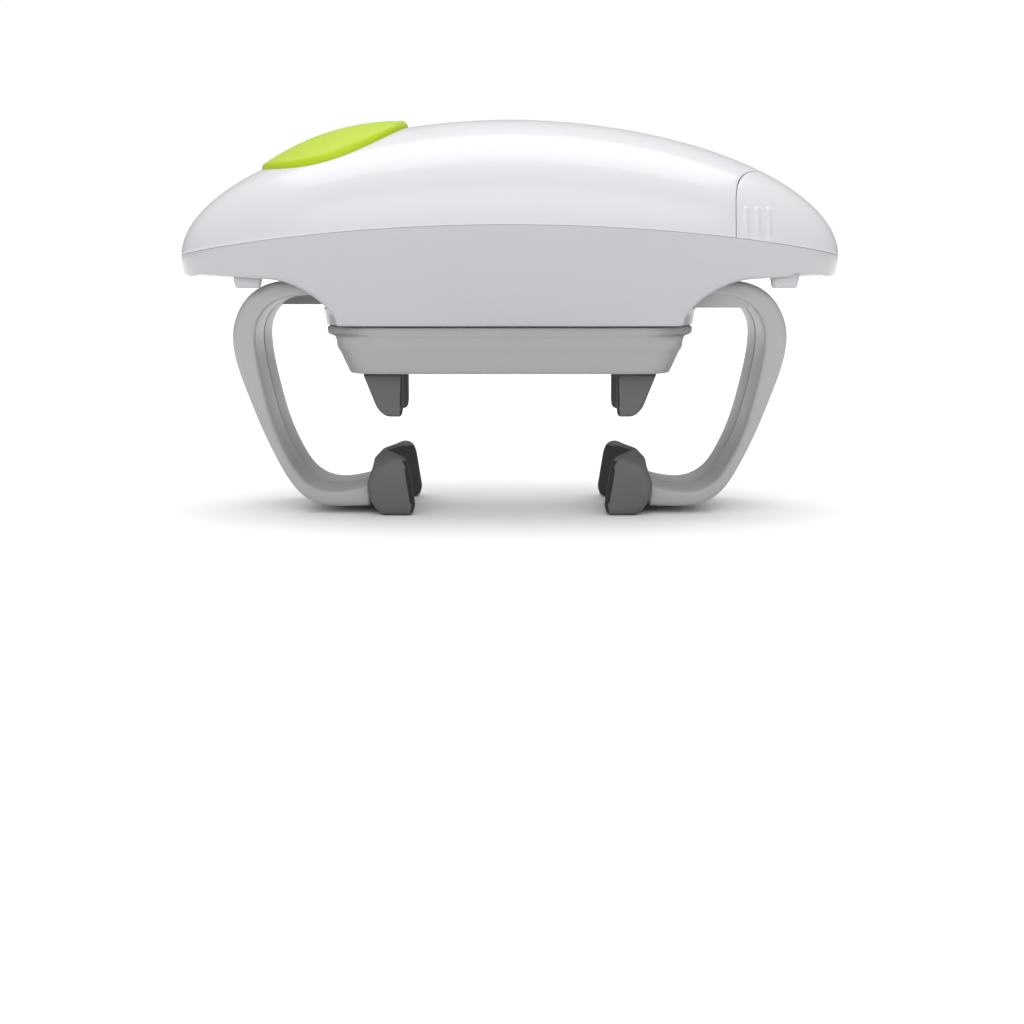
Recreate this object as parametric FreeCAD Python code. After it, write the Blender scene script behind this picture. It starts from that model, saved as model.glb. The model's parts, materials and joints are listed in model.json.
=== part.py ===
"""Hands-free electric jar opener: every piece a separate solid, millimetres, +Z up.

The origin is on the surface that the opener stands on, under the axis of the turning lid carriage.
+X runs along the long housing towards the battery door, and -Y is the front.
"""
import FreeCAD, Part
import math
import os
from FreeCAD import Vector

# ---------------------------------------------------------------- driving dimensions

# outer form of the housing
HALF_LENGTH = 105.2
HALF_WIDTH = 41.2
TIP_Z = 81.3
CREST_Z = 90.5
TOP_Z = 124.1
WING_Z = 74.5
BELLY_Z = 59.4
WALL = 2.2
THROUGH = 200.0
PLAN_POWER = 2.3
TOP_POWER = 1.9
SECTION_POWER = 2.1
WING_POWER = 3.6
SEAM_GAP = 0.15

# belly block under the wing, widening upwards
BELLY_HALF_LENGTH = 59.0
BELLY_HALF_WIDTH = 25.5
BELLY_FLARE = 9.0
BELLY_POWER = 4.6

# gear teeth
PRESSURE_ANGLE = math.radians(25)
BACKLASH = 0.16
ADDENDUM = 0.95
DEDENDUM = 1.2

# lid carriage and its hollow spindle
LIP_HALF_LENGTH = 58.6
LIP_HALF_WIDTH = 25.0
LIP_Z = 56.5
CARRIAGE_TOP_Z = 59.1
CARRIAGE_Z = 45.0
CARRIAGE_HALF_LENGTH = 54.3
CARRIAGE_HALF_WIDTH = 23.0
CARRIAGE_TAPER = 4.9
FLOOR_THICK = 2.0
CAVITY_TOP_Z = 54.4
PLATE_SCREWS = [(sx * 30.0, sy * 16.4) for sx in (-1, 1) for sy in (-1, 1)]
JAW_SLOT_X = (14.0, 46.8)
SPINDLE_R = 9.0
SPINDLE_FOOT_Z = 52.6
SPINDLE_FLANGE_R = 13.0
SHAFT_R = 5.0
SHAFT_END_R = 3.5
RUNNING_GAP = 0.06

# lid jaws, racks and pinion
JAW_MODULE = 1.0
JAW_TEETH = 12
JAW_RACK_Z = 47.6
JAW_RACK_HEIGHT = 4.6
JAW_TIP_Z = 30.6
JAW_INNER_X = 33.8
JAW_OUTER_X = 46.3
JAW_TOP_Z = 44.4
JAW_HALF_WIDTH = 18.0
JAW_RACK_BACK_Y = -11.4
JAW_RACK_END_X = 10.0
JAW_BLOCK_X = (-44.0, -36.0)
JAW_STEM_X = (-43.6, -37.0)
JAW_STEM_Z = 37.0
STEM_HALF_WIDTH = 4.4

# jar arms
ARM_HALF_WIDTH = 19.0
ARM_TOP_Z = 73.3
ARM_RACK_Z = 65.0
ARM_RACK_TOP_Z = 71.4
ARM_STUB_X = -62.0
ARM_MODULE = 1.0
ARM_TEETH = 24
ARM_RACK_BACK_Y = 18.4
ARM_RACK_END_X = 28.0
ARM_SHANK_X = (-76.0, -25.0)
ARM_SCREW_XS = (-73.0, -66.0)
ARM_SCREW_Y = 15.6
ARM_SCREW_TIP_Z = 72.6
ARM_SLOT_X = (40.0, 78.0)
PAD_HALF_WIDTH = 23.0

# screws, posts and feet of the housing: plan positions (x, y)
HOUSING_SCREWS = ((-80, 16), (-80, -16), (50, 24), (50, -24))
COVER_SCREWS = ((-42, 0), (-24, 0), (24, 0), (42, 0))
POST_R = 3.4
COVER_POST_R = 2.6
FOOT_XS = (-81, 85)
FOOT_Y = -21.6
FOOT_Z = 71.2
FOOT_HALF_LENGTH = 4.0
FOOT_HALF_WIDTH = 1.6

# gearbox
COLLAR_Z = 63.2
COLLAR_R = 12.5
COVER_Z = 73.7
COVER_THICK = 1.6
TOP_PLATE_Z = 86.4
TOP_PLATE_THICK = 1.9
OUTPUT_Z = 75.7
OUTPUT_HEIGHT = 3.9
SECOND_BIG_Z = 80.3
FIRST_BIG_Z = 83.5
BIG_HEIGHT = 2.4
OUTPUT_MODULE = 0.8
OUTPUT_TEETH = 48
SECOND_MODULE = 0.6
SECOND_TEETH = 40
FIRST_MODULE = 0.5
FIRST_TEETH = 44
PINION_TEETH = 12
AXLE_R = 1.5
SECOND_GEAR_ANGLE = math.radians(-60)
PRESS_GAP = 0.02
SPACERS = ((-10, -23.5), (-10, 21.5), (34, 21.5), (36, -24))
SPRING_WIRE_R = 0.45
CLUTCH_DISC_TOP_Z = 80.9
CLIP_Z = 85.25

# motor
MOTOR_WIDTH = 20.0
MOTOR_DEPTH = 15.1
MOTOR_LENGTH = 25.1
MOTOR_SHAFT_R = 1.0
MOTOR_X = 24.5
MOTOR_CENTRE = Vector(MOTOR_X, 0, 0)
MOTOR_SCREW_X = 7.6

# batteries: two AA cells
CELL_R = 7.25
CELL_LENGTH = 49.2
CELL_NUB_R = 2.7
CELL_NUB = 1.3
CELL_Z = 87.2
CELL_Y = 7.7
CELL_X = 43.0
TRAY_X = 40.4
TRAY_WALL = 1.4
TRAY_HALF_WIDTH = 16.4
CONTACT_THICK = 0.5

# power button
BUTTON_R = 24.3
BUTTON_GAP = 0.45
BUTTON_CENTRE = Vector(-56.2, 0, 116.4)
BUTTON_TILT = math.radians(17.3)
BUTTON_AXIS = Vector(-math.sin(BUTTON_TILT), 0, math.cos(BUTTON_TILT))
BUTTON_WALL = 2.0
BUTTON_PROUD = 1.7
BUTTON_TRAVEL = 2.0
BUTTON_SKIRT = -8.6
WELL_FLOOR = -11.0
STEM_R = 4.0
STEM_TIP = -15.2
SWITCH_HEIGHT = 4.1
BOARD_THICK = 1.2

# battery door: grip ribs and its seam in plan
RIB_XS = (71.4, 75.1, 78.8)
RIB_HALF = 0.9
RIB_PROUD = 0.45
RIB_LOW_Z = 88.0
RIB_HIGH_Z = 97.0
SEAM_SIDE_X = 68.2
SEAM_NOSE_X = 82.0
SEAM_KNEE_X = 78.4
SEAM_KNEE_Y = 16.8
SEAM_SIDE_Y = 33.0


# ---------------------------------------------------------------- small helpers

def box(x0, x1, y0, y1, z0, z1):
    """Block between two corners."""
    return Part.makeBox(x1 - x0, y1 - y0, z1 - z0, Vector(x0, y0, z0))


def rod(x, y, z0, z1, radius):
    """Upright cylinder."""
    return Part.makeCylinder(radius, z1 - z0, Vector(x, y, z0))


def tube(x, y, z0, z1, outer, inner):
    """Upright tube."""
    return rod(x, y, z0, z1, outer).cut(rod(x, y, z0 - 1, z1 + 1, inner))


def rod_x(x0, x1, y, z, radius):
    """Cylinder along X."""
    return Part.makeCylinder(radius, x1 - x0, Vector(x0, y, z), Vector(1, 0, 0))


def join(shapes):
    """One solid from several that touch or overlap."""
    whole = shapes[0]
    for shape in shapes[1:]:
        whole = whole.fuse(shape)
    return whole.removeSplitter()


def group(shapes):
    """Separate solids kept in one node."""
    return Part.Compound(shapes)


def half_turn(shape):
    """The same piece turned half a turn about the carriage axis."""
    return shape.copy().rotate(Vector(0, 0, 0), Vector(0, 0, 1), 180)


def prism_xz(edges, y0, y1):
    """Closed outline in the XZ plane, given as edges, extruded along Y."""
    face = Part.Face(Part.Wire(edges))
    face.translate(Vector(0, y0, 0))
    return face.extrude(Vector(0, y1 - y0, 0))


def path_xz(points):
    """Straight edges through points given as (x, z)."""
    corners = [Vector(x, 0, z) for x, z in points]
    return [Part.makeLine(a, b) for a, b in zip(corners, corners[1:])]


def arc_xz(start, middle, end):
    """Arc through three points given as (x, z)."""
    ends = [Vector(x, 0, z) for x, z in (start, middle, end)]
    return Part.Arc(*ends).toShape()


def spline_xz(points):
    """Smooth curve through points given as (x, z)."""
    curve = Part.BSplineCurve()
    curve.interpolate([Vector(x, 0, z) for x, z in points])
    return curve.toShape()


def superellipse(x, half, power):
    """Height from 1 at the middle to 0 at |x| = half."""
    return max(0.0, 1 - abs(x / half) ** power) ** (1 / power)


def round_rect(half_x, half_y, radius, z):
    """Closed wire of a rectangle with rounded corners at height z."""
    edges = []
    corners = ((1, 1), (-1, 1), (-1, -1), (1, -1))
    arcs = []
    for index, (sx, sy) in enumerate(corners):
        centre = Vector(sx * (half_x - radius), sy * (half_y - radius), z)
        angle = math.pi / 2 * index
        spots = []
        for turn in (0, math.pi / 4, math.pi / 2):
            reach = Vector(math.cos(angle + turn), math.sin(angle + turn), 0)
            spots.append(centre + reach * radius)
        arcs.append(spots)
    for index, spots in enumerate(arcs):
        edges.append(Part.Arc(*spots).toShape())
        edges.append(Part.makeLine(spots[2], arcs[(index + 1) % 4][0]))
    return Part.Wire(edges)


def screw(x, y, z_head, z_tip, shank, head, down=True):
    """Pan-head screw on an upright axis, its head at z_head and its point at z_tip."""
    low, high = sorted((z_head, z_tip))
    thick = head * 0.6
    if down:
        return join([rod(x, y, low, high, shank), rod(x, y, high, high + thick, head)])
    return join([rod(x, y, low, high, shank), rod(x, y, low - thick, low, head)])


def coil_spring(radius, wire, low, high, turns):
    """Compression spring on the Z axis."""
    pitch = (high - low - wire * 2) / turns
    helix = Part.makeHelix(pitch, pitch * turns, radius)
    profile = Part.Wire(Part.makeCircle(wire, Vector(radius, 0, 0), Vector(0, 1, 0)))
    spring = Part.Wire(helix).makePipeShell([profile], True, True)
    spring.translate(Vector(0, 0, low + wire))
    return spring


# ---------------------------------------------------------------- gears and racks

def involute(angle):
    """Involute of an angle."""
    return math.tan(angle) - angle


def gear(teeth, module, z0, z1, bore=0.0, phase=0.0, x=0.0, y=0.0):
    """Spur gear with involute flanks; phase is the angle of the middle of one tooth."""
    pitch_r = module * teeth / 2
    base_r = pitch_r * math.cos(PRESSURE_ANGLE)
    root_r = pitch_r - DEDENDUM * module
    tip_r = pitch_r + ADDENDUM * module
    half_tooth = math.pi / (2 * teeth) - BACKLASH * module / (2 * pitch_r)
    low_r = max(base_r, root_r)
    flank = []
    for step in range(5):
        radius = low_r + (tip_r - low_r) * step / 4
        spread = half_tooth + involute(PRESSURE_ANGLE) - involute(math.acos(min(1, base_r / radius)))
        flank.append((radius, spread))
    if root_r < base_r:
        flank.insert(0, (root_r, flank[0][1]))
    points = []
    for tooth in range(teeth):
        middle = phase + 2 * math.pi * tooth / teeth
        for radius, spread in flank:
            points.append((radius, middle - spread))
        for radius, spread in reversed(flank):
            points.append((radius, middle + spread))
    corners = [Vector(x + r * math.cos(a), y + r * math.sin(a), z0) for r, a in points]
    face = Part.Face(Part.makePolygon(corners + corners[:1]))
    blank = face.extrude(Vector(0, 0, z1 - z0))
    if bore:
        blank = blank.cut(rod(x, y, z0 - 1, z1 + 1, bore))
    return blank


def meshing_phase(phase, radius, module, mate_radius, direction):
    """Phase of a mating gear that lies in the given direction from the first gear."""
    along = (phase - direction) * radius + math.pi * module / 2
    return direction + math.pi - along / mate_radius


def rack(module, pitch_y, back_y, x0, x1, z0, z1):
    """Bar along X with teeth that point at the Y axis from the side of back_y."""
    side = math.copysign(1, back_y)
    pitch = math.pi * module
    tip_y = pitch_y - ADDENDUM * module
    root_y = pitch_y + DEDENDUM * module
    half = pitch / 4 - BACKLASH * module / 2
    slope = math.tan(PRESSURE_ANGLE)
    tip_half = half - ADDENDUM * module * slope
    root_half = half + DEDENDUM * module * slope
    outline = [(x0, abs(back_y)), (x0, root_y)]
    first = math.ceil((x0 + root_half) / pitch - 0.5)
    last = math.floor((x1 - root_half) / pitch - 0.5)
    for number in range(first, last + 1):
        middle = (number + 0.5) * pitch
        outline.append((middle - root_half, root_y))
        outline.append((middle - tip_half, tip_y))
        outline.append((middle + tip_half, tip_y))
        outline.append((middle + root_half, root_y))
    outline += [(x1, root_y), (x1, abs(back_y)), (x0, abs(back_y))]
    face = Part.Face(Part.makePolygon([Vector(px, side * py, z0) for px, py in outline]))
    return face.extrude(Vector(0, 0, z1 - z0))


def apex(start, end, near, far):
    """Corner of a triangle on the right of start-end, near from start and far from end."""
    span = end - start
    reach = span.Length
    along = (near ** 2 - far ** 2 + reach ** 2) / (2 * reach)
    off = math.sqrt(near ** 2 - along ** 2)
    unit = span / reach
    return start + unit * along + Vector(unit.y, -unit.x, 0) * off


# ---------------------------------------------------------------- housing

def parting_z(x):
    """Height of the arched seam between the two shells."""
    rise = CREST_Z - TIP_Z
    radius = (HALF_LENGTH ** 2 + rise ** 2) / (2 * rise)
    return CREST_Z - radius + math.sqrt(radius ** 2 - min(abs(x), HALF_LENGTH) ** 2)


def body_section(x, inset):
    """Closed cross-section of the long body at x, as two smooth arcs over and under the seam."""
    half_length = HALF_LENGTH - inset
    width = (HALF_WIDTH - inset) * superellipse(x, half_length, PLAN_POWER)
    seam = parting_z(x)
    rise = (TOP_Z - TIP_Z - inset) * superellipse(x, half_length, TOP_POWER)
    top = max(TIP_Z + rise, seam + 0.2 * width)
    bottom = WING_Z + inset
    sink = (seam - bottom) * superellipse(x, half_length, WING_POWER * 2)
    arcs = []
    for height, power, side in ((top - seam, SECTION_POWER, 1), (-sink, WING_POWER, -1)):
        spots = []
        for step in range(13):
            angle = math.pi * step / 12
            across = side * math.copysign(abs(math.cos(angle)) ** (2 / power), math.cos(angle))
            up = abs(math.sin(angle)) ** (2 / power)
            spots.append(Vector(x, width * across, seam + height * up))
        curve = Part.BSplineCurve()
        curve.interpolate(spots)
        arcs.append(curve.toShape())
    return Part.Wire(arcs)


def long_body(inset):
    """Solid of the long rounded body without the belly, drawn in by inset."""
    stations = 17
    wires = []
    for step in range(stations):
        angle = math.radians(-87 + 174 * step / (stations - 1))
        wires.append(body_section((HALF_LENGTH - inset) * math.sin(angle), inset))
    return Part.makeLoft(wires, True, False)


def belly(inset):
    """Block under the body, with rounded ends, that flares into the wings."""
    wires = []
    levels = 7
    low = BELLY_Z + inset
    high = WING_Z + inset + 3.0
    for step in range(levels):
        share = step / (levels - 1)
        flare = BELLY_FLARE * share ** 3
        half_x = BELLY_HALF_LENGTH - inset + 2.2 * flare
        half_y = BELLY_HALF_WIDTH - inset + BELLY_FLARE * share ** 0.9
        power = BELLY_POWER + (PLAN_POWER - BELLY_POWER) * share
        spots = []
        for turn in range(32):
            angle = 2 * math.pi * turn / 32
            across = math.copysign(abs(math.cos(angle)) ** (2 / power), math.cos(angle))
            along = math.copysign(abs(math.sin(angle)) ** (2 / power), math.sin(angle))
            spots.append(Vector(half_x * across, half_y * along, low + (high - low) * share))
        curve = Part.BSplineCurve()
        curve.interpolate(spots, PeriodicFlag=True)
        wires.append(Part.Wire(curve.toShape()))
    return Part.makeLoft(wires, True, False)


def housing_form(inset):
    """Whole closed form of the housing."""
    return long_body(inset).fuse(belly(inset))


def seam_block(lift):
    """Everything above the arched seam, moved up by lift."""
    reach = HALF_LENGTH + 5
    high = TOP_Z + 20
    left = (-HALF_LENGTH, TIP_Z + lift)
    right = (HALF_LENGTH, TIP_Z + lift)
    corners = [right, (reach, TIP_Z + lift), (reach, high), (-reach, high), (-reach, TIP_Z + lift), left]
    edges = [arc_xz(left, (0, CREST_Z + lift), right)] + path_xz(corners)
    return prism_xz(edges, -60, 60)


def door_block(shift):
    """Everything on the battery side of the door seam, moved along X by shift."""
    def spot(x, y):
        return Vector(x + shift, y, 0)

    nose = Part.Arc(spot(SEAM_KNEE_X, SEAM_KNEE_Y), spot(SEAM_NOSE_X, 0), spot(SEAM_KNEE_X, -SEAM_KNEE_Y))
    turn_x = SEAM_SIDE_X + (SEAM_KNEE_X - SEAM_SIDE_X) * 0.36
    turn_y = SEAM_KNEE_Y + (SEAM_SIDE_Y - SEAM_KNEE_Y) * 0.45
    edges = [nose.toShape()]
    front = [spot(SEAM_KNEE_X, -SEAM_KNEE_Y), spot(turn_x, -turn_y), spot(SEAM_SIDE_X, -SEAM_SIDE_Y)]
    edges.append(Part.Arc(*front).toShape())
    far_y = HALF_WIDTH + 10
    corners = [front[2], spot(SEAM_SIDE_X, -far_y), spot(150, -far_y), spot(150, far_y)]
    corners += [spot(SEAM_SIDE_X, far_y), spot(SEAM_SIDE_X, SEAM_SIDE_Y)]
    edges += [Part.makeLine(a, b) for a, b in zip(corners, corners[1:])]
    rear = [corners[-1], spot(turn_x, turn_y), spot(SEAM_KNEE_X, SEAM_KNEE_Y)]
    edges.append(Part.Arc(*rear).toShape())
    return Part.Face(Part.Wire(edges)).extrude(Vector(0, 0, 200))


def on_button_axis(low, high, radius):
    """Cylinder on the button's axis between two heights over the middle of its rim."""
    return Part.makeCylinder(radius, high - low, BUTTON_CENTRE + BUTTON_AXIS * low, BUTTON_AXIS)


def upper_shell(outer, inner):
    """Top shell with the button well, screw posts and the battery opening."""
    well = on_button_axis(WELL_FLOOR - 1.6, 10, BUTTON_R + BUTTON_GAP + 1.8)
    hollow = inner.cut(well)
    for x, y in HOUSING_SCREWS:
        hollow = hollow.cut(rod(x, y, 0, THROUGH, POST_R))
    shell = outer.cut(hollow).common(seam_block(0))
    shell = shell.cut(on_button_axis(WELL_FLOOR, THROUGH, BUTTON_R + BUTTON_GAP))
    shell = shell.cut(on_button_axis(WELL_FLOOR - 10, 0, STEM_R + RUNNING_GAP))
    for x, y in HOUSING_SCREWS:
        shell = shell.cut(rod(x, y, 0, parting_z(x) + 9, 1.2))
    return shell.cut(door_block(-SEAM_GAP))


def battery_door(outer, inner):
    """End cover that slides off along +X, with grip ribs on both sides."""
    skin = outer.cut(inner)
    rib_skin = long_body(-RIB_PROUD).cut(long_body(WALL / 2))
    for x in RIB_XS:
        rib = box(x - RIB_HALF, x + RIB_HALF, -60, 60, RIB_LOW_Z, RIB_HIGH_Z)
        skin = skin.fuse(rib_skin.common(rib))
    return skin.common(seam_block(SEAM_GAP)).common(door_block(SEAM_GAP))


def lower_shell(outer, inner):
    """Bottom shell with the belly, the spindle bearing, cover posts and arm slots."""
    hollow = inner
    for x, y in HOUSING_SCREWS:
        hollow = hollow.cut(rod(x, y, 0, THROUGH, POST_R))
    for x, y in COVER_SCREWS:
        hollow = hollow.cut(rod(x, y, 0, COVER_Z, COVER_POST_R))
    hollow = hollow.cut(rod(0, 0, 0, COLLAR_Z, COLLAR_R))
    shell = outer.cut(hollow).cut(seam_block(0))
    for x, y in HOUSING_SCREWS:
        shell = shell.cut(rod(x, y, 0, parting_z(x) + 1, 1.4))
        shell = shell.cut(rod(x, y, 0, WING_Z + 3.2, 2.8))
    for x, y in COVER_SCREWS:
        shell = shell.cut(rod(x, y, BELLY_Z + 4, COVER_Z + 1, 0.9))
    shell = shell.cut(rod(0, 0, 0, THROUGH, SPINDLE_R + RUNNING_GAP))
    slot_half = ARM_HALF_WIDTH + 0.6
    for side in (-1, 1):
        near, far = sorted(side * x for x in ARM_SLOT_X)
        slot = box(near, far, -slot_half, slot_half, ARM_RACK_Z - 0.5, ARM_TOP_Z + 0.35)
        shell = shell.cut(slot)
    low_y = FOOT_Y - FOOT_HALF_WIDTH
    high_y = FOOT_Y + FOOT_HALF_WIDTH
    for x in FOOT_XS:
        foot = box(x - FOOT_HALF_LENGTH, x + FOOT_HALF_LENGTH, low_y, high_y, FOOT_Z, WING_Z + 4)
        shell = shell.fuse(foot.cut(inner))
    return shell.removeSplitter()


# ---------------------------------------------------------------- power button and its switch

def on_button(shape):
    """Move a piece from the button's own frame, +Z outwards, to its place."""
    shape.rotate(Vector(0, 0, 0), Vector(0, 1, 0), -math.degrees(BUTTON_TILT))
    shape.translate(BUTTON_CENTRE)
    return shape


def power_button():
    """Crowned cap with a skirt and a guide stem."""
    over = 12
    cap = on_button_axis(BUTTON_SKIRT, over, BUTTON_R).common(long_body(-BUTTON_PROUD))
    inside = on_button_axis(BUTTON_SKIRT - 1, over, BUTTON_R - BUTTON_WALL).common(long_body(0.5))
    stem = on_button_axis(STEM_TIP, BUTTON_PROUD, STEM_R).common(long_body(0))
    return join([cap.cut(inside), stem])


def button_spring():
    """Return spring round the stem, between the well's floor and the cap."""
    return on_button(coil_spring(6.2, SPRING_WIRE_R, WELL_FLOOR + 0.05, -1.2, 4.5))


def control_board():
    """Small circuit board under the button."""
    top = STEM_TIP - BUTTON_TRAVEL - SWITCH_HEIGHT - 0.1
    return on_button(box(-15, 15, -10, 10, top - BOARD_THICK, top))


def button_switch():
    """Push switch on the board, closed at the end of the button's travel."""
    high = STEM_TIP - BUTTON_TRAVEL - 0.1
    shoulder = high - 0.9
    body = box(-3.2, 3.2, -3.2, 3.2, high - SWITCH_HEIGHT, shoulder)
    return on_button(join([body, rod(0, 0, shoulder, high, 1.7)]))


# ---------------------------------------------------------------- jar arms (built on the left side)

def arm_form():
    """Solid C of the arm, as wide as it is at the racks."""
    outer = [(-72, ARM_TOP_Z), (-80.3, 69.9), (-85.2, 63.5), (-86.9, 56.8), (-85.8, 48.0), (-82.5, 38.1)]
    outer += [(-78.0, 26.9), (-72.6, 15.8), (-67.6, 8.0), (-62.8, 3.9), (-56.5, 2.3)]
    inner = [(-53.0, 7.3), (-58.8, 7.4), (-64.6, 10.4), (-69.2, 17.0), (-72.6, 24.8), (-76.8, 39.5)]
    inner += [(-79.3, 53.0), (-79.0, 59.5), (-76.0, 64.8), (-70.5, 68.0), (ARM_STUB_X, 69.0)]
    edges = path_xz([(ARM_STUB_X, ARM_TOP_Z), outer[0]]) + [spline_xz(outer)]
    edges += path_xz([outer[-1], (-44.2, 2.4), (-44.2, 9.6), inner[0]]) + [spline_xz(inner)]
    edges += path_xz([inner[-1], (ARM_STUB_X, ARM_TOP_Z)])
    return prism_xz(edges, -ARM_HALF_WIDTH, ARM_HALF_WIDTH)


def arm_rack():
    """Toothed bar of the left arm, on the +Y side of the arm pinion."""
    pitch_y = ARM_MODULE * ARM_TEETH / 2
    near, far = ARM_SHANK_X
    bar = rack(ARM_MODULE, pitch_y, ARM_RACK_BACK_Y, far, ARM_RACK_END_X, ARM_RACK_Z, ARM_RACK_TOP_Z)
    shank = box(near, far, pitch_y + DEDENDUM, ARM_RACK_BACK_Y, ARM_RACK_Z, ARM_RACK_TOP_Z)
    bar = join([bar, shank])
    for x in ARM_SCREW_XS:
        bar = bar.cut(rod(x, ARM_SCREW_Y, 0, THROUGH, 1.1))
        bar = bar.cut(rod(x, ARM_SCREW_Y, 0, ARM_RACK_Z + 1.5, 2.1))
    return bar


def arm():
    """C-shaped arm with a rebate for the rack and pilot holes for its screws."""
    form = arm_form()
    rack_front_y = ARM_MODULE * ARM_TEETH / 2 + DEDENDUM
    rebate = box(ARM_SHANK_X[0], 0, rack_front_y, ARM_RACK_BACK_Y, 60, ARM_RACK_TOP_Z)
    form = form.cut(rebate)
    for x in ARM_SCREW_XS:
        form = form.cut(rod(x, ARM_SCREW_Y, ARM_RACK_TOP_Z - 1, ARM_SCREW_TIP_Z, 0.9))
    return form


def arm_screws():
    """Two screws that hold the rack in the arm, from below."""
    head_z = ARM_RACK_Z + 1.5
    return group([screw(x, ARM_SCREW_Y, head_z, ARM_SCREW_TIP_Z, 0.9, 1.9, False) for x in ARM_SCREW_XS])


def arm_pinion():
    """Gear round the spindle that ties both arms' racks together."""
    low = ARM_RACK_Z + 0.1
    high = ARM_RACK_TOP_Z - 0.1
    return gear(ARM_TEETH, ARM_MODULE, low, high, SPINDLE_R + RUNNING_GAP, math.pi / 2)


def v_notch(tip_x, root_x, half):
    """Upright wedge that opens a V towards +X."""
    corners = [Vector(root_x, 0, -5), Vector(tip_x + 5, half * (tip_x + 5 - root_x) / (tip_x - root_x), -5)]
    corners.append(Vector(corners[1].x, -corners[1].y, -5))
    return Part.Face(Part.makePolygon(corners + corners[:1])).extrude(Vector(0, 0, 100))


def arm_pad(arm_shape):
    """Rubber V pad on the arm's lower end; its sole is the surface that the opener stands on."""
    outline = [(-40.0, 0.0), (-43.6, 3.6), (-45.2, 9.8), (-43.0, 16.4), (-36.4, 18.9), (-33.0, 18.2)]
    outline += [(-31.6, 15.5), (-29.7, 3.0), (-31.0, 0.4), (-32.4, 0.0), (-40.0, 0.0)]
    block = prism_xz(path_xz(outline), -PAD_HALF_WIDTH, PAD_HALF_WIDTH)
    return block.cut(v_notch(-29.7, -38.6, 19.0)).cut(arm_shape)


# ---------------------------------------------------------------- turning lid carriage

def carriage_form(inset, low, high):
    """Tapered block of the carriage between two heights."""
    wires = []
    for z in (low, high):
        share = (LIP_Z - z) / (LIP_Z - CARRIAGE_Z)
        half_x = CARRIAGE_HALF_LENGTH - CARRIAGE_TAPER * share - inset
        half_y = CARRIAGE_HALF_WIDTH - 1.5 * share - inset
        wires.append(round_rect(half_x, half_y, 9 - inset, z))
    return Part.makeLoft(wires, True, True)


def lid_carriage():
    """Grey housing of the carriage, open below, with four screw posts."""
    lip = Part.Face(round_rect(LIP_HALF_LENGTH, LIP_HALF_WIDTH, 15, LIP_Z))
    block = carriage_form(0, CARRIAGE_Z, LIP_Z).fuse(lip.extrude(Vector(0, 0, CARRIAGE_TOP_Z - LIP_Z)))
    cavity = carriage_form(FLOOR_THICK, CARRIAGE_Z - 0.01, CAVITY_TOP_Z)
    for x, y in PLATE_SCREWS:
        cavity = cavity.cut(rod(x, y, CARRIAGE_Z + FLOOR_THICK + 0.05, 60, 2.4))
    block = block.cut(cavity).cut(rod(0, 0, 50, 70, SPINDLE_R + PRESS_GAP))
    for x, y in PLATE_SCREWS:
        block = block.cut(rod(x, y, 0, 53, 0.8))
    return block.removeSplitter()


def carriage_plate():
    """Bottom plate with the two slots that the jaws slide along."""
    plate = carriage_form(FLOOR_THICK + 0.1, CARRIAGE_Z, CARRIAGE_Z + FLOOR_THICK)
    for side in (-1, 1):
        near, far = sorted(side * x for x in JAW_SLOT_X)
        plate = plate.cut(box(near, far, -STEM_HALF_WIDTH - 0.3, STEM_HALF_WIDTH + 0.3, 40, 50))
    for x, y in PLATE_SCREWS:
        plate = plate.cut(rod(x, y, 40, 50, 1.1))
        plate = plate.cut(rod(x, y, 40, CARRIAGE_Z + 1.1, 2.0))
    return plate


def carriage_screws():
    """Four screws that hold the bottom plate, sunk flush from below."""
    return group([screw(x, y, CARRIAGE_Z + 1.1, 52.5, 0.8, 1.75, False) for x, y in PLATE_SCREWS])


def carriage_spindle():
    """Hollow spindle with a flange under the carriage roof."""
    return join([
        tube(0, 0, SPINDLE_FOOT_Z, OUTPUT_Z + OUTPUT_HEIGHT, SPINDLE_R, SHAFT_R + RUNNING_GAP),
        tube(0, 0, SPINDLE_FOOT_Z, CAVITY_TOP_Z - 0.05, SPINDLE_FLANGE_R, SHAFT_R + RUNNING_GAP),
    ])


def jaw_slide():
    """Left jaw's slider: rack on the -Y side of the jaw pinion, block and stem."""
    pitch_y = JAW_MODULE * JAW_TEETH / 2
    top = JAW_RACK_Z + JAW_RACK_HEIGHT
    bar = rack(JAW_MODULE, pitch_y, JAW_RACK_BACK_Y, JAW_BLOCK_X[1], JAW_RACK_END_X, JAW_RACK_Z, top)
    block = box(*JAW_BLOCK_X, JAW_RACK_BACK_Y, STEM_HALF_WIDTH, JAW_RACK_Z, top)
    stem = box(*JAW_STEM_X, -STEM_HALF_WIDTH, STEM_HALF_WIDTH, JAW_STEM_Z, JAW_RACK_Z)
    return join([bar, block, stem])


def jaw_grip(slide_shape):
    """Rubber lid jaw moulded round the stem, with a V towards the lid."""
    edges = path_xz([(-37.4, JAW_TIP_Z), (-34.6, JAW_TIP_Z), (-JAW_INNER_X, 31.6), (-JAW_INNER_X, JAW_TOP_Z)])
    edges += path_xz([(-JAW_INNER_X, JAW_TOP_Z), (-JAW_OUTER_X, JAW_TOP_Z), (-45.2, 40.0)])
    edges.append(arc_xz((-45.2, 40.0), (-42.6, 34.0), (-37.4, JAW_TIP_Z)))
    block = prism_xz(edges, -JAW_HALF_WIDTH, JAW_HALF_WIDTH)
    return block.cut(v_notch(-JAW_INNER_X, -36.9, 12.0)).cut(slide_shape)


# ---------------------------------------------------------------- drive

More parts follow.
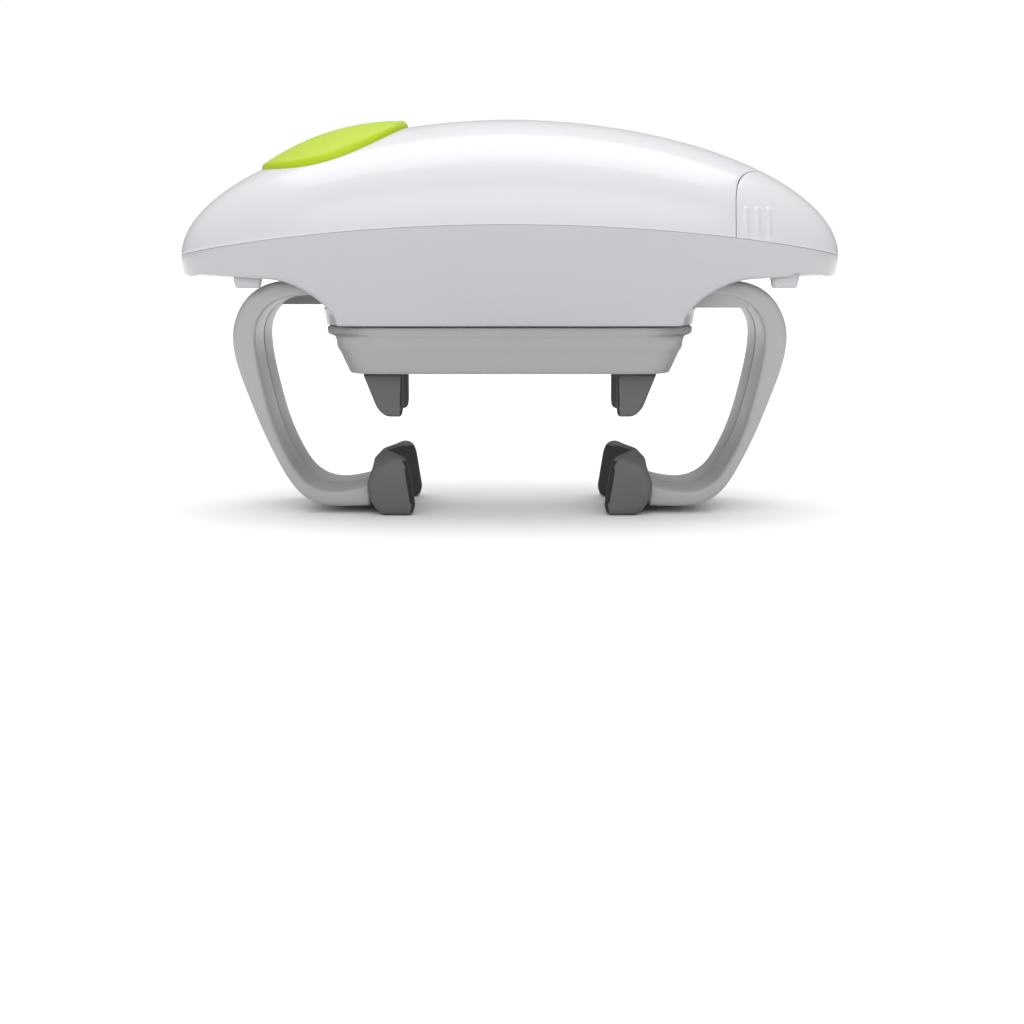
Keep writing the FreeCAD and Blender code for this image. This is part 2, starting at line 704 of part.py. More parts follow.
def axle_centres():
    """Plan positions of the first and the second gear axle."""
    reach = OUTPUT_MODULE * (OUTPUT_TEETH + PINION_TEETH) / 2
    second = Vector(reach * math.cos(SECOND_GEAR_ANGLE), reach * math.sin(SECOND_GEAR_ANGLE), 0)
    near = SECOND_MODULE * (SECOND_TEETH + PINION_TEETH) / 2
    far = FIRST_MODULE * (FIRST_TEETH + PINION_TEETH) / 2
    return apex(second, MOTOR_CENTRE, near, far), second


def drive_phases():
    """Tooth phases of the train, worked from the output gear to the motor pinion."""
    first, second = axle_centres()
    output_r = OUTPUT_MODULE * OUTPUT_TEETH / 2
    second_pinion_r = OUTPUT_MODULE * PINION_TEETH / 2
    second_pinion = meshing_phase(0, output_r, OUTPUT_MODULE, second_pinion_r, SECOND_GEAR_ANGLE)
    step = first - second
    second_big_r = SECOND_MODULE * SECOND_TEETH / 2
    first_pinion_r = SECOND_MODULE * PINION_TEETH / 2
    towards = math.atan2(step.y, step.x)
    first_pinion = meshing_phase(0, second_big_r, SECOND_MODULE, first_pinion_r, towards)
    step = MOTOR_CENTRE - first
    first_big_r = FIRST_MODULE * FIRST_TEETH / 2
    motor_pinion_r = FIRST_MODULE * PINION_TEETH / 2
    towards = math.atan2(step.y, step.x)
    motor_phase = meshing_phase(0, first_big_r, FIRST_MODULE, motor_pinion_r, towards)
    return second_pinion, first_pinion, motor_phase


def drive_gears():
    """Output gear, both compound gears and the motor pinion."""
    first, second = axle_centres()
    second_phase, first_phase, motor_phase = drive_phases()
    bore = AXLE_R + 0.05
    overlap = 0.01
    second_top = SECOND_BIG_Z + BIG_HEIGHT
    first_top = FIRST_BIG_Z + BIG_HEIGHT
    x, y = second.x, second.y
    output = gear(OUTPUT_TEETH, OUTPUT_MODULE, OUTPUT_Z, OUTPUT_Z + OUTPUT_HEIGHT, SPINDLE_R + PRESS_GAP)
    second_gear = join([
        gear(PINION_TEETH, OUTPUT_MODULE, OUTPUT_Z, SECOND_BIG_Z + overlap, bore, second_phase, x, y),
        gear(SECOND_TEETH, SECOND_MODULE, SECOND_BIG_Z, second_top, bore, 0, x, y),
    ])
    x, y = first.x, first.y
    first_gear = join([
        gear(PINION_TEETH, SECOND_MODULE, SECOND_BIG_Z, FIRST_BIG_Z + overlap, bore, first_phase, x, y),
        gear(FIRST_TEETH, FIRST_MODULE, FIRST_BIG_Z, first_top, bore, 0, x, y),
    ])
    pinion = gear(
        PINION_TEETH, FIRST_MODULE, FIRST_BIG_Z, first_top, MOTOR_SHAFT_R + PRESS_GAP,
        motor_phase, MOTOR_X, 0,
    )
    return output, second_gear, first_gear, pinion


def gear_axles():
    """Two fixed pins between the plates, the first with a shoulder under its gear."""
    first, second = axle_centres()
    top = TOP_PLATE_Z + TOP_PLATE_THICK
    pins = [rod(second.x, second.y, COVER_Z, top, AXLE_R)]
    shoulder = rod(first.x, first.y, COVER_Z + COVER_THICK, SECOND_BIG_Z - 0.15, 2.4)
    pins.append(join([rod(first.x, first.y, COVER_Z, top, AXLE_R), shoulder]))
    return group(pins)


def rack_cover():
    """Lower gearbox plate over the racks, screwed to four posts."""
    first, second = axle_centres()
    plate = join([
        box(-45, 45, -22, 22, COVER_Z, COVER_Z + COVER_THICK),
        box(-13.5, 38.5, -26.4, 25, COVER_Z, COVER_Z + COVER_THICK),
    ])
    plate = plate.cut(rod(0, 0, 70, 80, SPINDLE_R + 0.4))
    for x, y in COVER_SCREWS:
        plate = plate.cut(rod(x, y, 70, 80, 1.2))
    for axle in (first, second):
        plate = plate.cut(rod(axle.x, axle.y, 70, 80, AXLE_R))
    return plate


def gearbox_top():
    """Upper gearbox plate, which carries the motor and the top shaft bearing."""
    first, second = axle_centres()
    low = TOP_PLATE_Z
    high = low + TOP_PLATE_THICK
    plate = box(-13.5, 39.5, -27.5, 25, low, high)
    plate = plate.cut(rod(0, 0, 80, 90, SHAFT_R + RUNNING_GAP))
    plate = plate.cut(rod(MOTOR_X, 0, 80, 90, 3.8))
    for axle in (first, second):
        plate = plate.cut(rod(axle.x, axle.y, 80, 90, AXLE_R))
    for x, y in SPACERS:
        plate = plate.cut(rod(x, y, 80, 90, 1.1))
    for side in (-1, 1):
        plate = plate.cut(rod(MOTOR_X + side * MOTOR_SCREW_X, 0, 80, 90, 1.0))
    return plate


def plate_spacers():
    """Four posts between the gearbox plates."""
    low = COVER_Z + COVER_THICK
    return group([tube(x, y, low, TOP_PLATE_Z, 2.2, 1.0) for x, y in SPACERS])


def spacer_screws():
    """Screws through the upper plate into the spacers."""
    return group([screw(x, y, TOP_PLATE_Z + TOP_PLATE_THICK, 80.0, 0.95, 1.9) for x, y in SPACERS])


def cover_screws():
    """Screws through the rack cover into the posts of the lower shell."""
    return group([screw(x, y, COVER_Z + COVER_THICK, 66.0, 0.85, 1.9) for x, y in COVER_SCREWS])


def motor_can():
    """Small flat-sided direct-current motor standing on the upper plate."""
    low = TOP_PLATE_Z + TOP_PLATE_THICK
    can = rod(MOTOR_X, 0, low, low + MOTOR_LENGTH, MOTOR_WIDTH / 2)
    half = MOTOR_DEPTH / 2
    can = can.common(box(MOTOR_X - 20, MOTOR_X + 20, -half, half, low, low + MOTOR_LENGTH))
    boss = rod(MOTOR_X, 0, low - 1.5, low + 0.5, 3.0)
    can = join([can, boss]).cut(rod(MOTOR_X, 0, 80, low + MOTOR_LENGTH - 4, MOTOR_SHAFT_R + 0.05))
    for side in (-1, 1):
        can = can.cut(rod(MOTOR_X + side * MOTOR_SCREW_X, 0, 80, low + 3, 0.8))
    return can


def motor_screws():
    """Two screws from under the plate into the motor."""
    spots = [MOTOR_X + side * MOTOR_SCREW_X for side in (-1, 1)]
    return group([rod(x, 0, TOP_PLATE_Z, TOP_PLATE_Z + TOP_PLATE_THICK + 2.8, 0.75) for x in spots])


def motor_shaft():
    """Steel shaft of the motor."""
    low = TOP_PLATE_Z + TOP_PLATE_THICK
    return rod(MOTOR_X, 0, FIRST_BIG_Z - 0.2, low + MOTOR_LENGTH - 4.3, MOTOR_SHAFT_R)


def jaw_shaft():
    """Shaft through the hollow spindle, from the jaw pinion to the upper plate."""
    shoulder = JAW_RACK_Z + JAW_RACK_HEIGHT + 0.1
    return join([
        rod(0, 0, JAW_RACK_Z - 0.2, shoulder, SHAFT_END_R),
        rod(0, 0, shoulder, TOP_PLATE_Z + TOP_PLATE_THICK + 0.6, SHAFT_R),
    ])


# ---------------------------------------------------------------- batteries

def battery_cells():
    """Two AA cells side by side."""
    cells = []
    for side, turned in ((-1, False), (1, True)):
        y = side * CELL_Y
        start = CELL_X + (CELL_NUB if turned else 0)
        body = rod_x(start, start + CELL_LENGTH, y, CELL_Z, CELL_R)
        nub_start = CELL_X if turned else start + CELL_LENGTH
        nub = rod_x(nub_start, nub_start + CELL_NUB, y, CELL_Z, CELL_NUB_R)
        cells.append(join([body, nub]))
    return group(cells)


def battery_tray():
    """Open cradle under the cells with an end wall for the contacts."""
    low = CELL_Z - CELL_R - 1.5
    wall_x = TRAY_X + TRAY_WALL
    tray = box(TRAY_X, 84, -TRAY_HALF_WIDTH, TRAY_HALF_WIDTH, low, CELL_Z - 1)
    wall = box(TRAY_X, wall_x, -TRAY_HALF_WIDTH, TRAY_HALF_WIDTH, low, CELL_Z + 5)
    tray = join([tray, wall])
    for side in (-1, 1):
        tray = tray.cut(rod_x(wall_x, 100, side * CELL_Y, CELL_Z, CELL_R + 0.12))
    return tray


def tray_contacts():
    """Two sprung contact plates on the tray's end wall."""
    plates = []
    for side in (-1, 1):
        y = side * CELL_Y
        near = TRAY_X + TRAY_WALL
        plates.append(box(near, near + CONTACT_THICK, y - 4.5, y + 4.5, CELL_Z - 4.5, CELL_Z + 4.5))
    return group(plates)


def door_contact():
    """Bridge contact inside the battery door."""
    end = CELL_X + CELL_NUB + CELL_LENGTH
    return box(end + 0.1, end + 0.1 + CONTACT_THICK, -12.5, 12.5, CELL_Z - 3.5, CELL_Z + 3.5)


# ---------------------------------------------------------------- all nodes

def build_nodes():
    """Every node's name and shape."""
    outer = housing_form(0)
    inner = housing_form(WALL)
    output, second_gear, first_gear, motor_pinion = drive_gears()
    arm_shape = arm()
    slide_shape = jaw_slide()
    left = {
        "arm": arm_shape,
        "arm_rack": arm_rack(),
        "arm_pad": arm_pad(arm_shape),
        "rack_screws": arm_screws(),
        "jaw_slide": slide_shape,
        "jaw_grip": jaw_grip(slide_shape),
    }
    nodes = {
        "upper_shell": upper_shell(outer, inner),
        "lower_shell": lower_shell(outer, inner),
        "battery_door": battery_door(outer, inner),
        "power_button": power_button(),
        "button_spring": button_spring(),
        "control_board": control_board(),
        "button_switch": button_switch(),
        "rack_cover": rack_cover(),
        "gearbox_top": gearbox_top(),
        "plate_spacers": plate_spacers(),
        "spacer_screws": spacer_screws(),
        "cover_screws": cover_screws(),
        "gear_axles": gear_axles(),
        "motor": motor_can(),
        "motor_screws": motor_screws(),
        "motor_shaft": motor_shaft(),
        "motor_pinion": motor_pinion,
        "first_gear": first_gear,
        "second_gear": second_gear,
        "output_gear": output,
        "carriage_spindle": carriage_spindle(),
        "spindle_washer": tube(0, 0, COLLAR_Z + 0.05, COLLAR_Z + 1.2, 12.3, SPINDLE_R + PRESS_GAP),
        "arm_pinion": arm_pinion(),
        "lid_carriage": lid_carriage(),
        "carriage_plate": carriage_plate(),
        "carriage_screws": carriage_screws(),
        "jaw_shaft": jaw_shaft(),
        "jaw_pinion": gear(
            JAW_TEETH, JAW_MODULE, JAW_RACK_Z, JAW_RACK_Z + JAW_RACK_HEIGHT, SHAFT_END_R + 0.01, math.pi / 2
        ),
        "clutch_disc": tube(
            0, 0, OUTPUT_Z + OUTPUT_HEIGHT + 0.1, CLUTCH_DISC_TOP_Z, 8.0, SHAFT_R + PRESS_GAP
        ),
        "clutch_spring": coil_spring(6.4, SPRING_WIRE_R, CLUTCH_DISC_TOP_Z + 0.05, CLIP_Z - 0.05, 3),
        "shaft_clip": tube(0, 0, CLIP_Z, 86.2, 7.0, SHAFT_R + PRESS_GAP),
        "battery_cells": battery_cells(),
        "battery_tray": battery_tray(),
        "tray_contacts": tray_contacts(),
        "door_contact": door_contact(),
        "housing_screws": group([
            screw(x, y, WING_Z + 3.2, parting_z(x) + 7, 1.15, 2.6, False) for x, y in HOUSING_SCREWS
        ]),
    }
    for name, shape in left.items():
        nodes["left_" + name] = shape
        nodes["right_" + name] = half_turn(shape)
    return nodes


def write_nodes():
    """One STEP file per node."""
    os.makedirs("parts", exist_ok=True)
    for name, shape in build_nodes().items():
        shape.exportStep("parts/" + name + ".step")


write_nodes()
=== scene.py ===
"""Looks of the hands-free electric jar opener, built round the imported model.

Lengths in the shape code are millimetres in the CAD's frame, and become metres in make_piece.
The floor, the lights and the camera are in metres.
"""
import json
import math

import bmesh
import bpy
import numpy as np
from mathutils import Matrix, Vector


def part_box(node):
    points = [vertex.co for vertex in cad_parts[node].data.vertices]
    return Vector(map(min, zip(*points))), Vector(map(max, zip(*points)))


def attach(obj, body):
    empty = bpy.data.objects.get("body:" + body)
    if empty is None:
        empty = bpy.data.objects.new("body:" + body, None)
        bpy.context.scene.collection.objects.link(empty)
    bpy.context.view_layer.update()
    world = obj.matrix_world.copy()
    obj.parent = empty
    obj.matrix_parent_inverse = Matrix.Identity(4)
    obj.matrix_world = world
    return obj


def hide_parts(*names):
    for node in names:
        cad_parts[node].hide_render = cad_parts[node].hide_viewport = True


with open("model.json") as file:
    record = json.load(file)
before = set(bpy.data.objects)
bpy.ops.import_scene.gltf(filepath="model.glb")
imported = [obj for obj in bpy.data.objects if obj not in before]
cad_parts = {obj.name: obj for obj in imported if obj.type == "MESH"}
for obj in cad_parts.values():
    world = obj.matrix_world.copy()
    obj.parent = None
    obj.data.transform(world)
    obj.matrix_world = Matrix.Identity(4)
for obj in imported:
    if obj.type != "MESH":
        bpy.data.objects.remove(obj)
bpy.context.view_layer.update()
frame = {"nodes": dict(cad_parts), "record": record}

MM = 0.001


# ---------------------------------------------------------------- sizes from the frame

def box_mm(node):
    """Lowest and highest corner of a CAD node, in millimetres."""
    low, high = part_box(node)
    return np.array(low) / MM, np.array(high) / MM


shell_low, shell_high = box_mm("upper_shell")
HALF_LENGTH = -shell_low[0]
HALF_WIDTH = shell_high[1] - 0.02
TOP_Z = shell_high[2]
BELLY_Z = box_mm("lower_shell")[0][2]
TIP_Z = TOP_Z - 42.8
CREST_Z = TOP_Z - 33.6
WING_Z = BELLY_Z + 15.1
WALL = 2.0
SHELL_EDGE = 0.32
PLAN_POWER = 2.3
CROWN_POWER = 1.9
SECTION_POWER = 2.1

BUTTON_R = 24.3
HOLE_R = 24.75
BUTTON_TILT = math.radians(17.3)
BUTTON_CENTRE = np.array([-56.2, 0.0, 116.4])
BUTTON_OUT = np.array([-math.sin(BUTTON_TILT), 0.0, math.cos(BUTTON_TILT)])
BUTTON_ALONG = np.array([math.cos(BUTTON_TILT), 0.0, math.sin(BUTTON_TILT)])
WELL_FLOOR = -11.0
SKIRT = -8.6
STEM_R = 4.0
STEM_TIP = -15.2

SEAM_SIDE_X = 68.2
SEAM_NOSE_X = 82.0
SEAM_GAP = 0.15
LEFT_PATCH_END = -22.0

ARM_HALF_WIDTH = box_mm("left_arm")[1][1]
ARM_TOP_Z = box_mm("left_arm")[1][2]


# ---------------------------------------------------------------- mesh helpers

def make_piece(name, points, faces, material, body, slot, replaced=()):
    """Mesh object from points in millimetres, riding on a body."""
    mesh = bpy.data.meshes.new(name)
    mesh.from_pydata((np.asarray(points) * MM).tolist(), [], faces)
    piece = bpy.data.objects.new(name, mesh)
    bpy.context.collection.objects.link(piece)
    clean(mesh)
    mesh.materials.append(material)
    mesh.shade_smooth()
    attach(piece, body)
    if replaced:
        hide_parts(*replaced)
    return piece


def clean(mesh):
    """Weld matching points, drop empty faces and turn the faces outwards."""
    work = bmesh.new()
    work.from_mesh(mesh)
    bmesh.ops.remove_doubles(work, verts=work.verts, dist=2e-6)
    bmesh.ops.dissolve_degenerate(work, edges=work.edges, dist=1e-6)
    bmesh.ops.recalc_face_normals(work, faces=work.faces)
    work.to_mesh(mesh)
    work.free()


def grid_faces(rows, columns, closed=False, first=0):
    """Quads of a grid of rows by columns, whose columns may wrap round."""
    faces = []
    wrap = columns if closed else columns - 1
    for row in range(rows - 1):
        for column in range(wrap):
            after = (column + 1) % columns
            low = first + row * columns
            high = low + columns
            faces.append((low + column, low + after, high + after, high + column))
    return faces


def loft(rings, cap_start=True, cap_end=True):
    """Points and faces through closed rings of equal length."""
    rings = [np.asarray(ring) for ring in rings]
    count = len(rings[0])
    faces = grid_faces(len(rings), count, True)
    if cap_start:
        faces.append(tuple(range(count)))
    if cap_end:
        faces.append(tuple(range((len(rings) - 1) * count, len(rings) * count)))
    return np.concatenate(rings), faces


def add_solidify(piece):
    """Wall inwards from the outer skin."""
    wall = piece.modifiers.new("wall", "SOLIDIFY")
    wall.thickness = WALL * MM
    wall.offset = -1
    wall.use_even_offset = True


def add_bevel(piece, width):
    """Rounded edges where faces meet sharply."""
    edge = piece.modifiers.new("edge", "BEVEL")
    edge.width = width * MM
    edge.segments = 3
    edge.limit_method = "ANGLE"
    edge.angle_limit = math.radians(35)


def bake_modifiers(piece):
    """Replace the mesh by its result under the modifiers."""
    bpy.context.view_layer.update()
    graph = bpy.context.evaluated_depsgraph_get()
    mesh = bpy.data.meshes.new_from_object(piece.evaluated_get(graph))
    piece.modifiers.clear()
    piece.data = mesh


def cut_boxes(piece, boxes):
    """Take boxes, given as low and high corners in millimetres, out of a closed piece."""
    for low, high in boxes:
        bpy.ops.mesh.primitive_cube_add(size=1)
        cutter = bpy.context.object
        cutter.location = [(a + b) / 2 * MM for a, b in zip(low, high)]
        cutter.scale = [(b - a) * MM for a, b in zip(low, high)]
        cut = piece.modifiers.new("cut", "BOOLEAN")
        cut.operation = "DIFFERENCE"
        cut.solver = "EXACT"
        cut.object = cutter
        bake_modifiers(piece)
        bpy.data.objects.remove(cutter)


def smoothstep(low, high, value):
    """0 under low, 1 over high, smooth between."""
    share = np.clip((np.asarray(value, dtype=float) - low) / (high - low), 0, 1)
    return share * share * (3 - 2 * share)


SPLINE_DENSITY = 8


def spline(points, count):
    """Evenly spaced points along a natural cubic spline."""
    points = np.asarray(points, dtype=float)
    steps = np.linalg.norm(np.diff(points, axis=0), axis=1)
    knots = np.concatenate([[0], np.cumsum(steps)])
    size = len(points)
    matrix = np.zeros((size, size))
    right = np.zeros((size, points.shape[1]))
    matrix[0, 0] = matrix[-1, -1] = 1
    for i in range(1, size - 1):
        before, after = steps[i - 1], steps[i]
        matrix[i, i - 1:i + 2] = before, 2 * (before + after), after
        right[i] = 6 * ((points[i + 1] - points[i]) / after - (points[i] - points[i - 1]) / before)
    bend = np.linalg.solve(matrix, right)
    dense = []
    for value in np.linspace(0, knots[-1], count * SPLINE_DENSITY):
        i = min(np.searchsorted(knots, value, side="right") - 1, size - 2)
        step = steps[i]
        a = (knots[i + 1] - value) / step
        b = 1 - a
        curve = a * points[i] + b * points[i + 1]
        curve = curve + ((a ** 3 - a) * bend[i] + (b ** 3 - b) * bend[i + 1]) * step ** 2 / 6
        dense.append(curve)
    return resample(np.array(dense), count)


def resample(path, count):
    """Points at equal distances along a path."""
    lengths = np.concatenate([[0], np.cumsum(np.linalg.norm(np.diff(path, axis=0), axis=1))])
    wanted = np.linspace(0, lengths[-1], count)
    return np.stack([np.interp(wanted, lengths, column) for column in path.T], axis=1)


CORNER_SHARE = 0.48


def round_corners(corners, radii, steps=5):
    """Closed outline through corners, each rounded by its radius or as far as its sides allow."""
    corners = [np.asarray(corner, dtype=float) for corner in corners]
    outline = []
    for i, corner in enumerate(corners):
        to_last = corners[i - 1] - corner
        to_next = corners[(i + 1) % len(corners)] - corner
        last_length = np.linalg.norm(to_last)
        next_length = np.linalg.norm(to_next)
        reach = min(radii[i], last_length * CORNER_SHARE, next_length * CORNER_SHARE)
        start = corner + to_last / last_length * reach
        end = corner + to_next / next_length * reach
        for step in range(steps + 1):
            share = step / steps
            outline.append((1 - share) ** 2 * start + 2 * share * (1 - share) * corner + share ** 2 * end)
    return np.array(outline)


# ---------------------------------------------------------------- form of the housing

def superellipse(x, half, power):
    """Height from 1 at the middle to 0 at |x| = half."""
    return np.maximum(0.0, 1 - np.abs(np.asarray(x) / half) ** power) ** (1 / power)


def signed_power(value, power):
    """Power that keeps the sign."""
    return np.sign(value) * np.abs(value) ** power


def parting_z(x):
    """Height of the arched seam between the shells."""
    rise = CREST_Z - TIP_Z
    radius = (HALF_LENGTH ** 2 + rise ** 2) / (2 * rise)
    return CREST_Z - radius + np.sqrt(radius ** 2 - np.minimum(np.abs(x), HALF_LENGTH) ** 2)


def half_width(x):
    """Half the width at the seam."""
    return HALF_WIDTH * superellipse(x, HALF_LENGTH, PLAN_POWER)


def crown_z(x):
    """Height of the crest line."""
    return TIP_Z + (TOP_Z - TIP_Z) * superellipse(x, HALF_LENGTH, CROWN_POWER)


def roof_z(x, y):
    """Height of the upper skin over a plan point."""
    width = np.maximum(half_width(x), 1e-6)
    seam = parting_z(x)
    crown = np.maximum(crown_z(x), seam)
    return seam + (crown - seam) * superellipse(np.minimum(np.abs(y), width), width, SECTION_POWER)


def section(x, angle):
    """Points of the upper skin on the cross-section at x, from the front seam at 0 to the back seam at pi."""
    width = half_width(x)
    seam = parting_z(x)
    crown = np.maximum(crown_z(x), seam)
    across = -signed_power(np.cos(angle), 2 / SECTION_POWER)
    up = np.abs(np.sin(angle)) ** (2 / SECTION_POWER)
    return np.stack([x + 0 * across, width * across, seam + (crown - seam) * up], axis=-1)


def outline_point(angle):
    """Plan point of the outline at the seam; angle 0 is the +X tip."""
    x = HALF_LENGTH * signed_power(np.cos(angle), 2 / PLAN_POWER)
    y = HALF_WIDTH * signed_power(np.sin(angle), 2 / PLAN_POWER)
    return np.stack([x, y], axis=-1)


def button_point(radius, angle, height):
    """Points in the button's own frame; the height is one for all angles or one for each."""
    side = np.array([0.0, 1.0, 0.0])
    radial = np.multiply.outer(np.cos(angle), BUTTON_ALONG) + np.multiply.outer(np.sin(angle), side)
    return BUTTON_CENTRE + radius * radial + np.multiply.outer(height * np.ones_like(angle), BUTTON_OUT)


BISECTIONS = 40
RIM_SEARCH = (-16.0, 8.0)
SEAM_SEARCH = 3.0
SEAM_SHAPE = 0.92


def rim_height(radius, angle):
    """Height over the button's middle plane at which a line beside its axis meets the skin."""
    low = np.full_like(angle, RIM_SEARCH[0])
    high = np.full_like(angle, RIM_SEARCH[1])
    for _ in range(BISECTIONS):
        middle = (low + high) / 2
        spot = button_point(radius, angle, middle)
        inside = spot[..., 2] < roof_z(spot[..., 0], spot[..., 1])
        low = np.where(inside, middle, low)
        high = np.where(inside, high, middle)
    return (low + high) / 2


def door_seam_x(y):
    """Plan position of the battery door's seam: a nose in the middle with hollow shoulders."""
    side = superellipse(SEAM_SIDE_X, HALF_LENGTH, PLAN_POWER) * HALF_WIDTH
    share = np.clip(np.abs(y) / side, 0, 1)
    fall = 0.5 - 0.5 * np.cos(math.pi * share ** SEAM_SHAPE)
    return SEAM_NOSE_X - (SEAM_NOSE_X - SEAM_SIDE_X) * fall


def seam_end(angle, shift):
    """X where each line of the upper skin meets the door seam."""
    low = np.full_like(angle, SEAM_SIDE_X - SEAM_SEARCH)
    high = np.full_like(angle, SEAM_NOSE_X + SEAM_SEARCH)
    for _ in range(BISECTIONS):
        middle = (low + high) / 2
        before = middle < door_seam_x(section(middle, angle)[..., 1]) + shift
        low = np.where(before, middle, low)
        high = np.where(before, high, middle)
    return (low + high) / 2


# ---------------------------------------------------------------- materials

def node_material(name):
    """New material with its node tree and its shader."""
    material = bpy.data.materials.new(name)
    material.use_nodes = True
    tree = material.node_tree
    return material, tree, tree.nodes["Principled BSDF"]


def mottle(tree, scale, detail=3.0):
    """Noise in object space."""
    place = tree.nodes.new("ShaderNodeTexCoord")
    noise = tree.nodes.new("ShaderNodeTexNoise")
    noise.inputs["Scale"].default_value = scale
    noise.inputs["Detail"].default_value = detail
    tree.links.new(place.outputs["Object"], noise.inputs["Vector"])
    return noise.outputs["Fac"]


def mapped(tree, value, low, high):
    """Value from 0..1 brought to low..high."""
    change = tree.nodes.new("ShaderNodeMapRange")
    change.inputs["To Min"].default_value = low
    change.inputs["To Max"].default_value = high
    tree.links.new(value, change.inputs["Value"])
    return change.outputs["Result"]


def two_tone(tree, value, dark, light):
    """Colour between two tones."""
    ramp = tree.nodes.new("ShaderNodeMix")
    ramp.data_type = "RGBA"
    ramp.inputs["A"].default_value = (*dark, 1)
    ramp.inputs["B"].default_value = (*light, 1)
    tree.links.new(value, ramp.inputs["Factor"])
    return ramp.outputs["Result"]


def bumped(tree, shader, value, strength, distance):
    """Small relief from a value."""
    bump = tree.nodes.new("ShaderNodeBump")
    bump.inputs["Strength"].default_value = strength
    bump.inputs["Distance"].default_value = distance
    tree.links.new(value, bump.inputs["Height"])
    tree.links.new(bump.outputs["Normal"], shader.inputs["Normal"])


BROAD_SCALE = 45.0
GLOSS_SPREAD = 0.05
GRAIN_DEPTH = 0.0001
DRAWN_SCALE = 900.0
DRAWN_RELIEF = 0.15
DRAWN_DEPTH = 0.00005


def moulded(name, dark, light, rough, grain, relief, coat=0.0, specular=0.5):
    """Moulded plastic or rubber: faint colour variation, uneven gloss and fine grain."""
    material, tree, shader = node_material(name)
    broad = mottle(tree, BROAD_SCALE)
    fine = mottle(tree, grain, 4.0)
    tree.links.new(two_tone(tree, broad, dark, light), shader.inputs["Base Color"])
    tree.links.new(mapped(tree, fine, rough - GLOSS_SPREAD, rough + GLOSS_SPREAD), shader.inputs["Roughness"])
    bumped(tree, shader, fine, relief, GRAIN_DEPTH)
    shader.inputs["Coat Weight"].default_value = coat
    shader.inputs["Coat Roughness"].default_value = 0.08
    shader.inputs["Specular IOR Level"].default_value = specular
    return material


def metal(name, dark, light, rough, stretch=(1.0, 1.0, 1.0)):
    """Metal with fine drawn lines along the less stretched axes."""
    material, tree, shader = node_material(name)
    place = tree.nodes.new("ShaderNodeTexCoord")
    scale = tree.nodes.new("ShaderNodeMapping")
    scale.inputs["Scale"].default_value = stretch
    noise = tree.nodes.new("ShaderNodeTexNoise")
    noise.inputs["Scale"].default_value = DRAWN_SCALE
    noise.inputs["Detail"].default_value = 5.0
    tree.links.new(place.outputs["Object"], scale.inputs["Vector"])
    tree.links.new(scale.outputs["Vector"], noise.inputs["Vector"])
    value = noise.outputs["Fac"]
    tree.links.new(two_tone(tree, value, dark, light), shader.inputs["Base Color"])
    tree.links.new(mapped(tree, value, rough - 0.08, rough + 0.1), shader.inputs["Roughness"])
    bumped(tree, shader, value, DRAWN_RELIEF, DRAWN_DEPTH)
    shader.inputs["Metallic"].default_value = 1.0
    return material


white = moulded("shell_white", (0.575, 0.575, 0.60), (0.59, 0.59, 0.615), 0.24, 2600.0, 0.05, coat=0.25)
# The lower shell's white is the same plastic as the upper shell's. It is made darker to paint the shade on
# its downward-facing sides, and it is also a little rougher and less coated.
white_painted_shade = moulded("shell_white_painted_shade", (0.445, 0.445, 0.465), (0.46, 0.46, 0.48), 0.30, 2600.0, 0.05,
                      coat=0.15)
green = moulded("button_green", (0.385, 0.52, 0.006), (0.41, 0.55, 0.008), 0.38, 2200.0, 0.12,
                specular=0.3)
arm_grey = moulded("arm_grey", (0.345, 0.35, 0.345), (0.375, 0.38, 0.375), 0.36, 2400.0, 0.12)
carriage_grey = moulded("carriage_grey", (0.31, 0.313, 0.307), (0.335, 0.338, 0.332), 0.42, 2400.0, 0.15)
rubber = moulded("pad_rubber", (0.100, 0.102, 0.104), (0.120, 0.122, 0.125), 0.60, 1500.0, 0.35,
                 specular=0.35)
# Darker rubber that paints the shade on the faces turned to the jar. It is also a little rougher and less
# glossy.
rubber_painted_shade = moulded("pad_rubber_painted_shade", (0.022, 0.022, 0.023), (0.034, 0.034, 0.035), 0.68, 1300.0, 0.4,
                        specular=0.25)
nylon = moulded("gear_nylon", (0.72, 0.69, 0.60), (0.80, 0.77, 0.69), 0.45, 1800.0, 0.2)
dark_plastic = moulded("gearbox_grey", (0.05, 0.05, 0.055), (0.08, 0.08, 0.085), 0.5, 1600.0, 0.3)
black_plastic = moulded("switch_black", (0.015, 0.015, 0.015), (0.03, 0.03, 0.03), 0.45, 1600.0, 0.3)
board = moulded("board_green", (0.01, 0.10, 0.035), (0.02, 0.16, 0.055), 0.35, 700.0, 0.25, coat=0.3)
cell_wrap = moulded("cell_wrap", (0.06, 0.08, 0.12), (0.09, 0.11, 0.16), 0.28, 900.0, 0.08, coat=0.4)
steel = metal("steel", (0.50, 0.50, 0.51), (0.66, 0.66, 0.67), 0.30)
can_steel = metal("motor_can", (0.60, 0.60, 0.60), (0.74, 0.74, 0.73), 0.26, (1.0, 1.0, 0.05))
brass = metal("brass", (0.55, 0.38, 0.14), (0.72, 0.53, 0.24), 0.25)
nickel = metal("contact_plate", (0.62, 0.60, 0.56), (0.76, 0.74, 0.70), 0.2)

MATERIALS = {
    "shell_white": white, "button_green": green, "arm_grey": arm_grey, "carriage_grey": carriage_grey,
    "pad_rubber": rubber, "gear_nylon": nylon, "gearbox_grey": dark_plastic, "switch_black": black_plastic,
    "board_green": board, "cell_wrap": cell_wrap, "steel": steel, "motor_can": can_steel, "brass": brass,
    "contact_plate": nickel,
}


def paint_cad_nodes():
    """Give every CAD node the material of its slot."""
    slots = {row["node"]: row["material_slot"] for row in frame["record"]["subparts"]}
    for name, piece in frame["nodes"].items():
        piece.data.materials.clear()
        piece.data.materials.append(MATERIALS[slots[name]])


# ---------------------------------------------------------------- upper shell

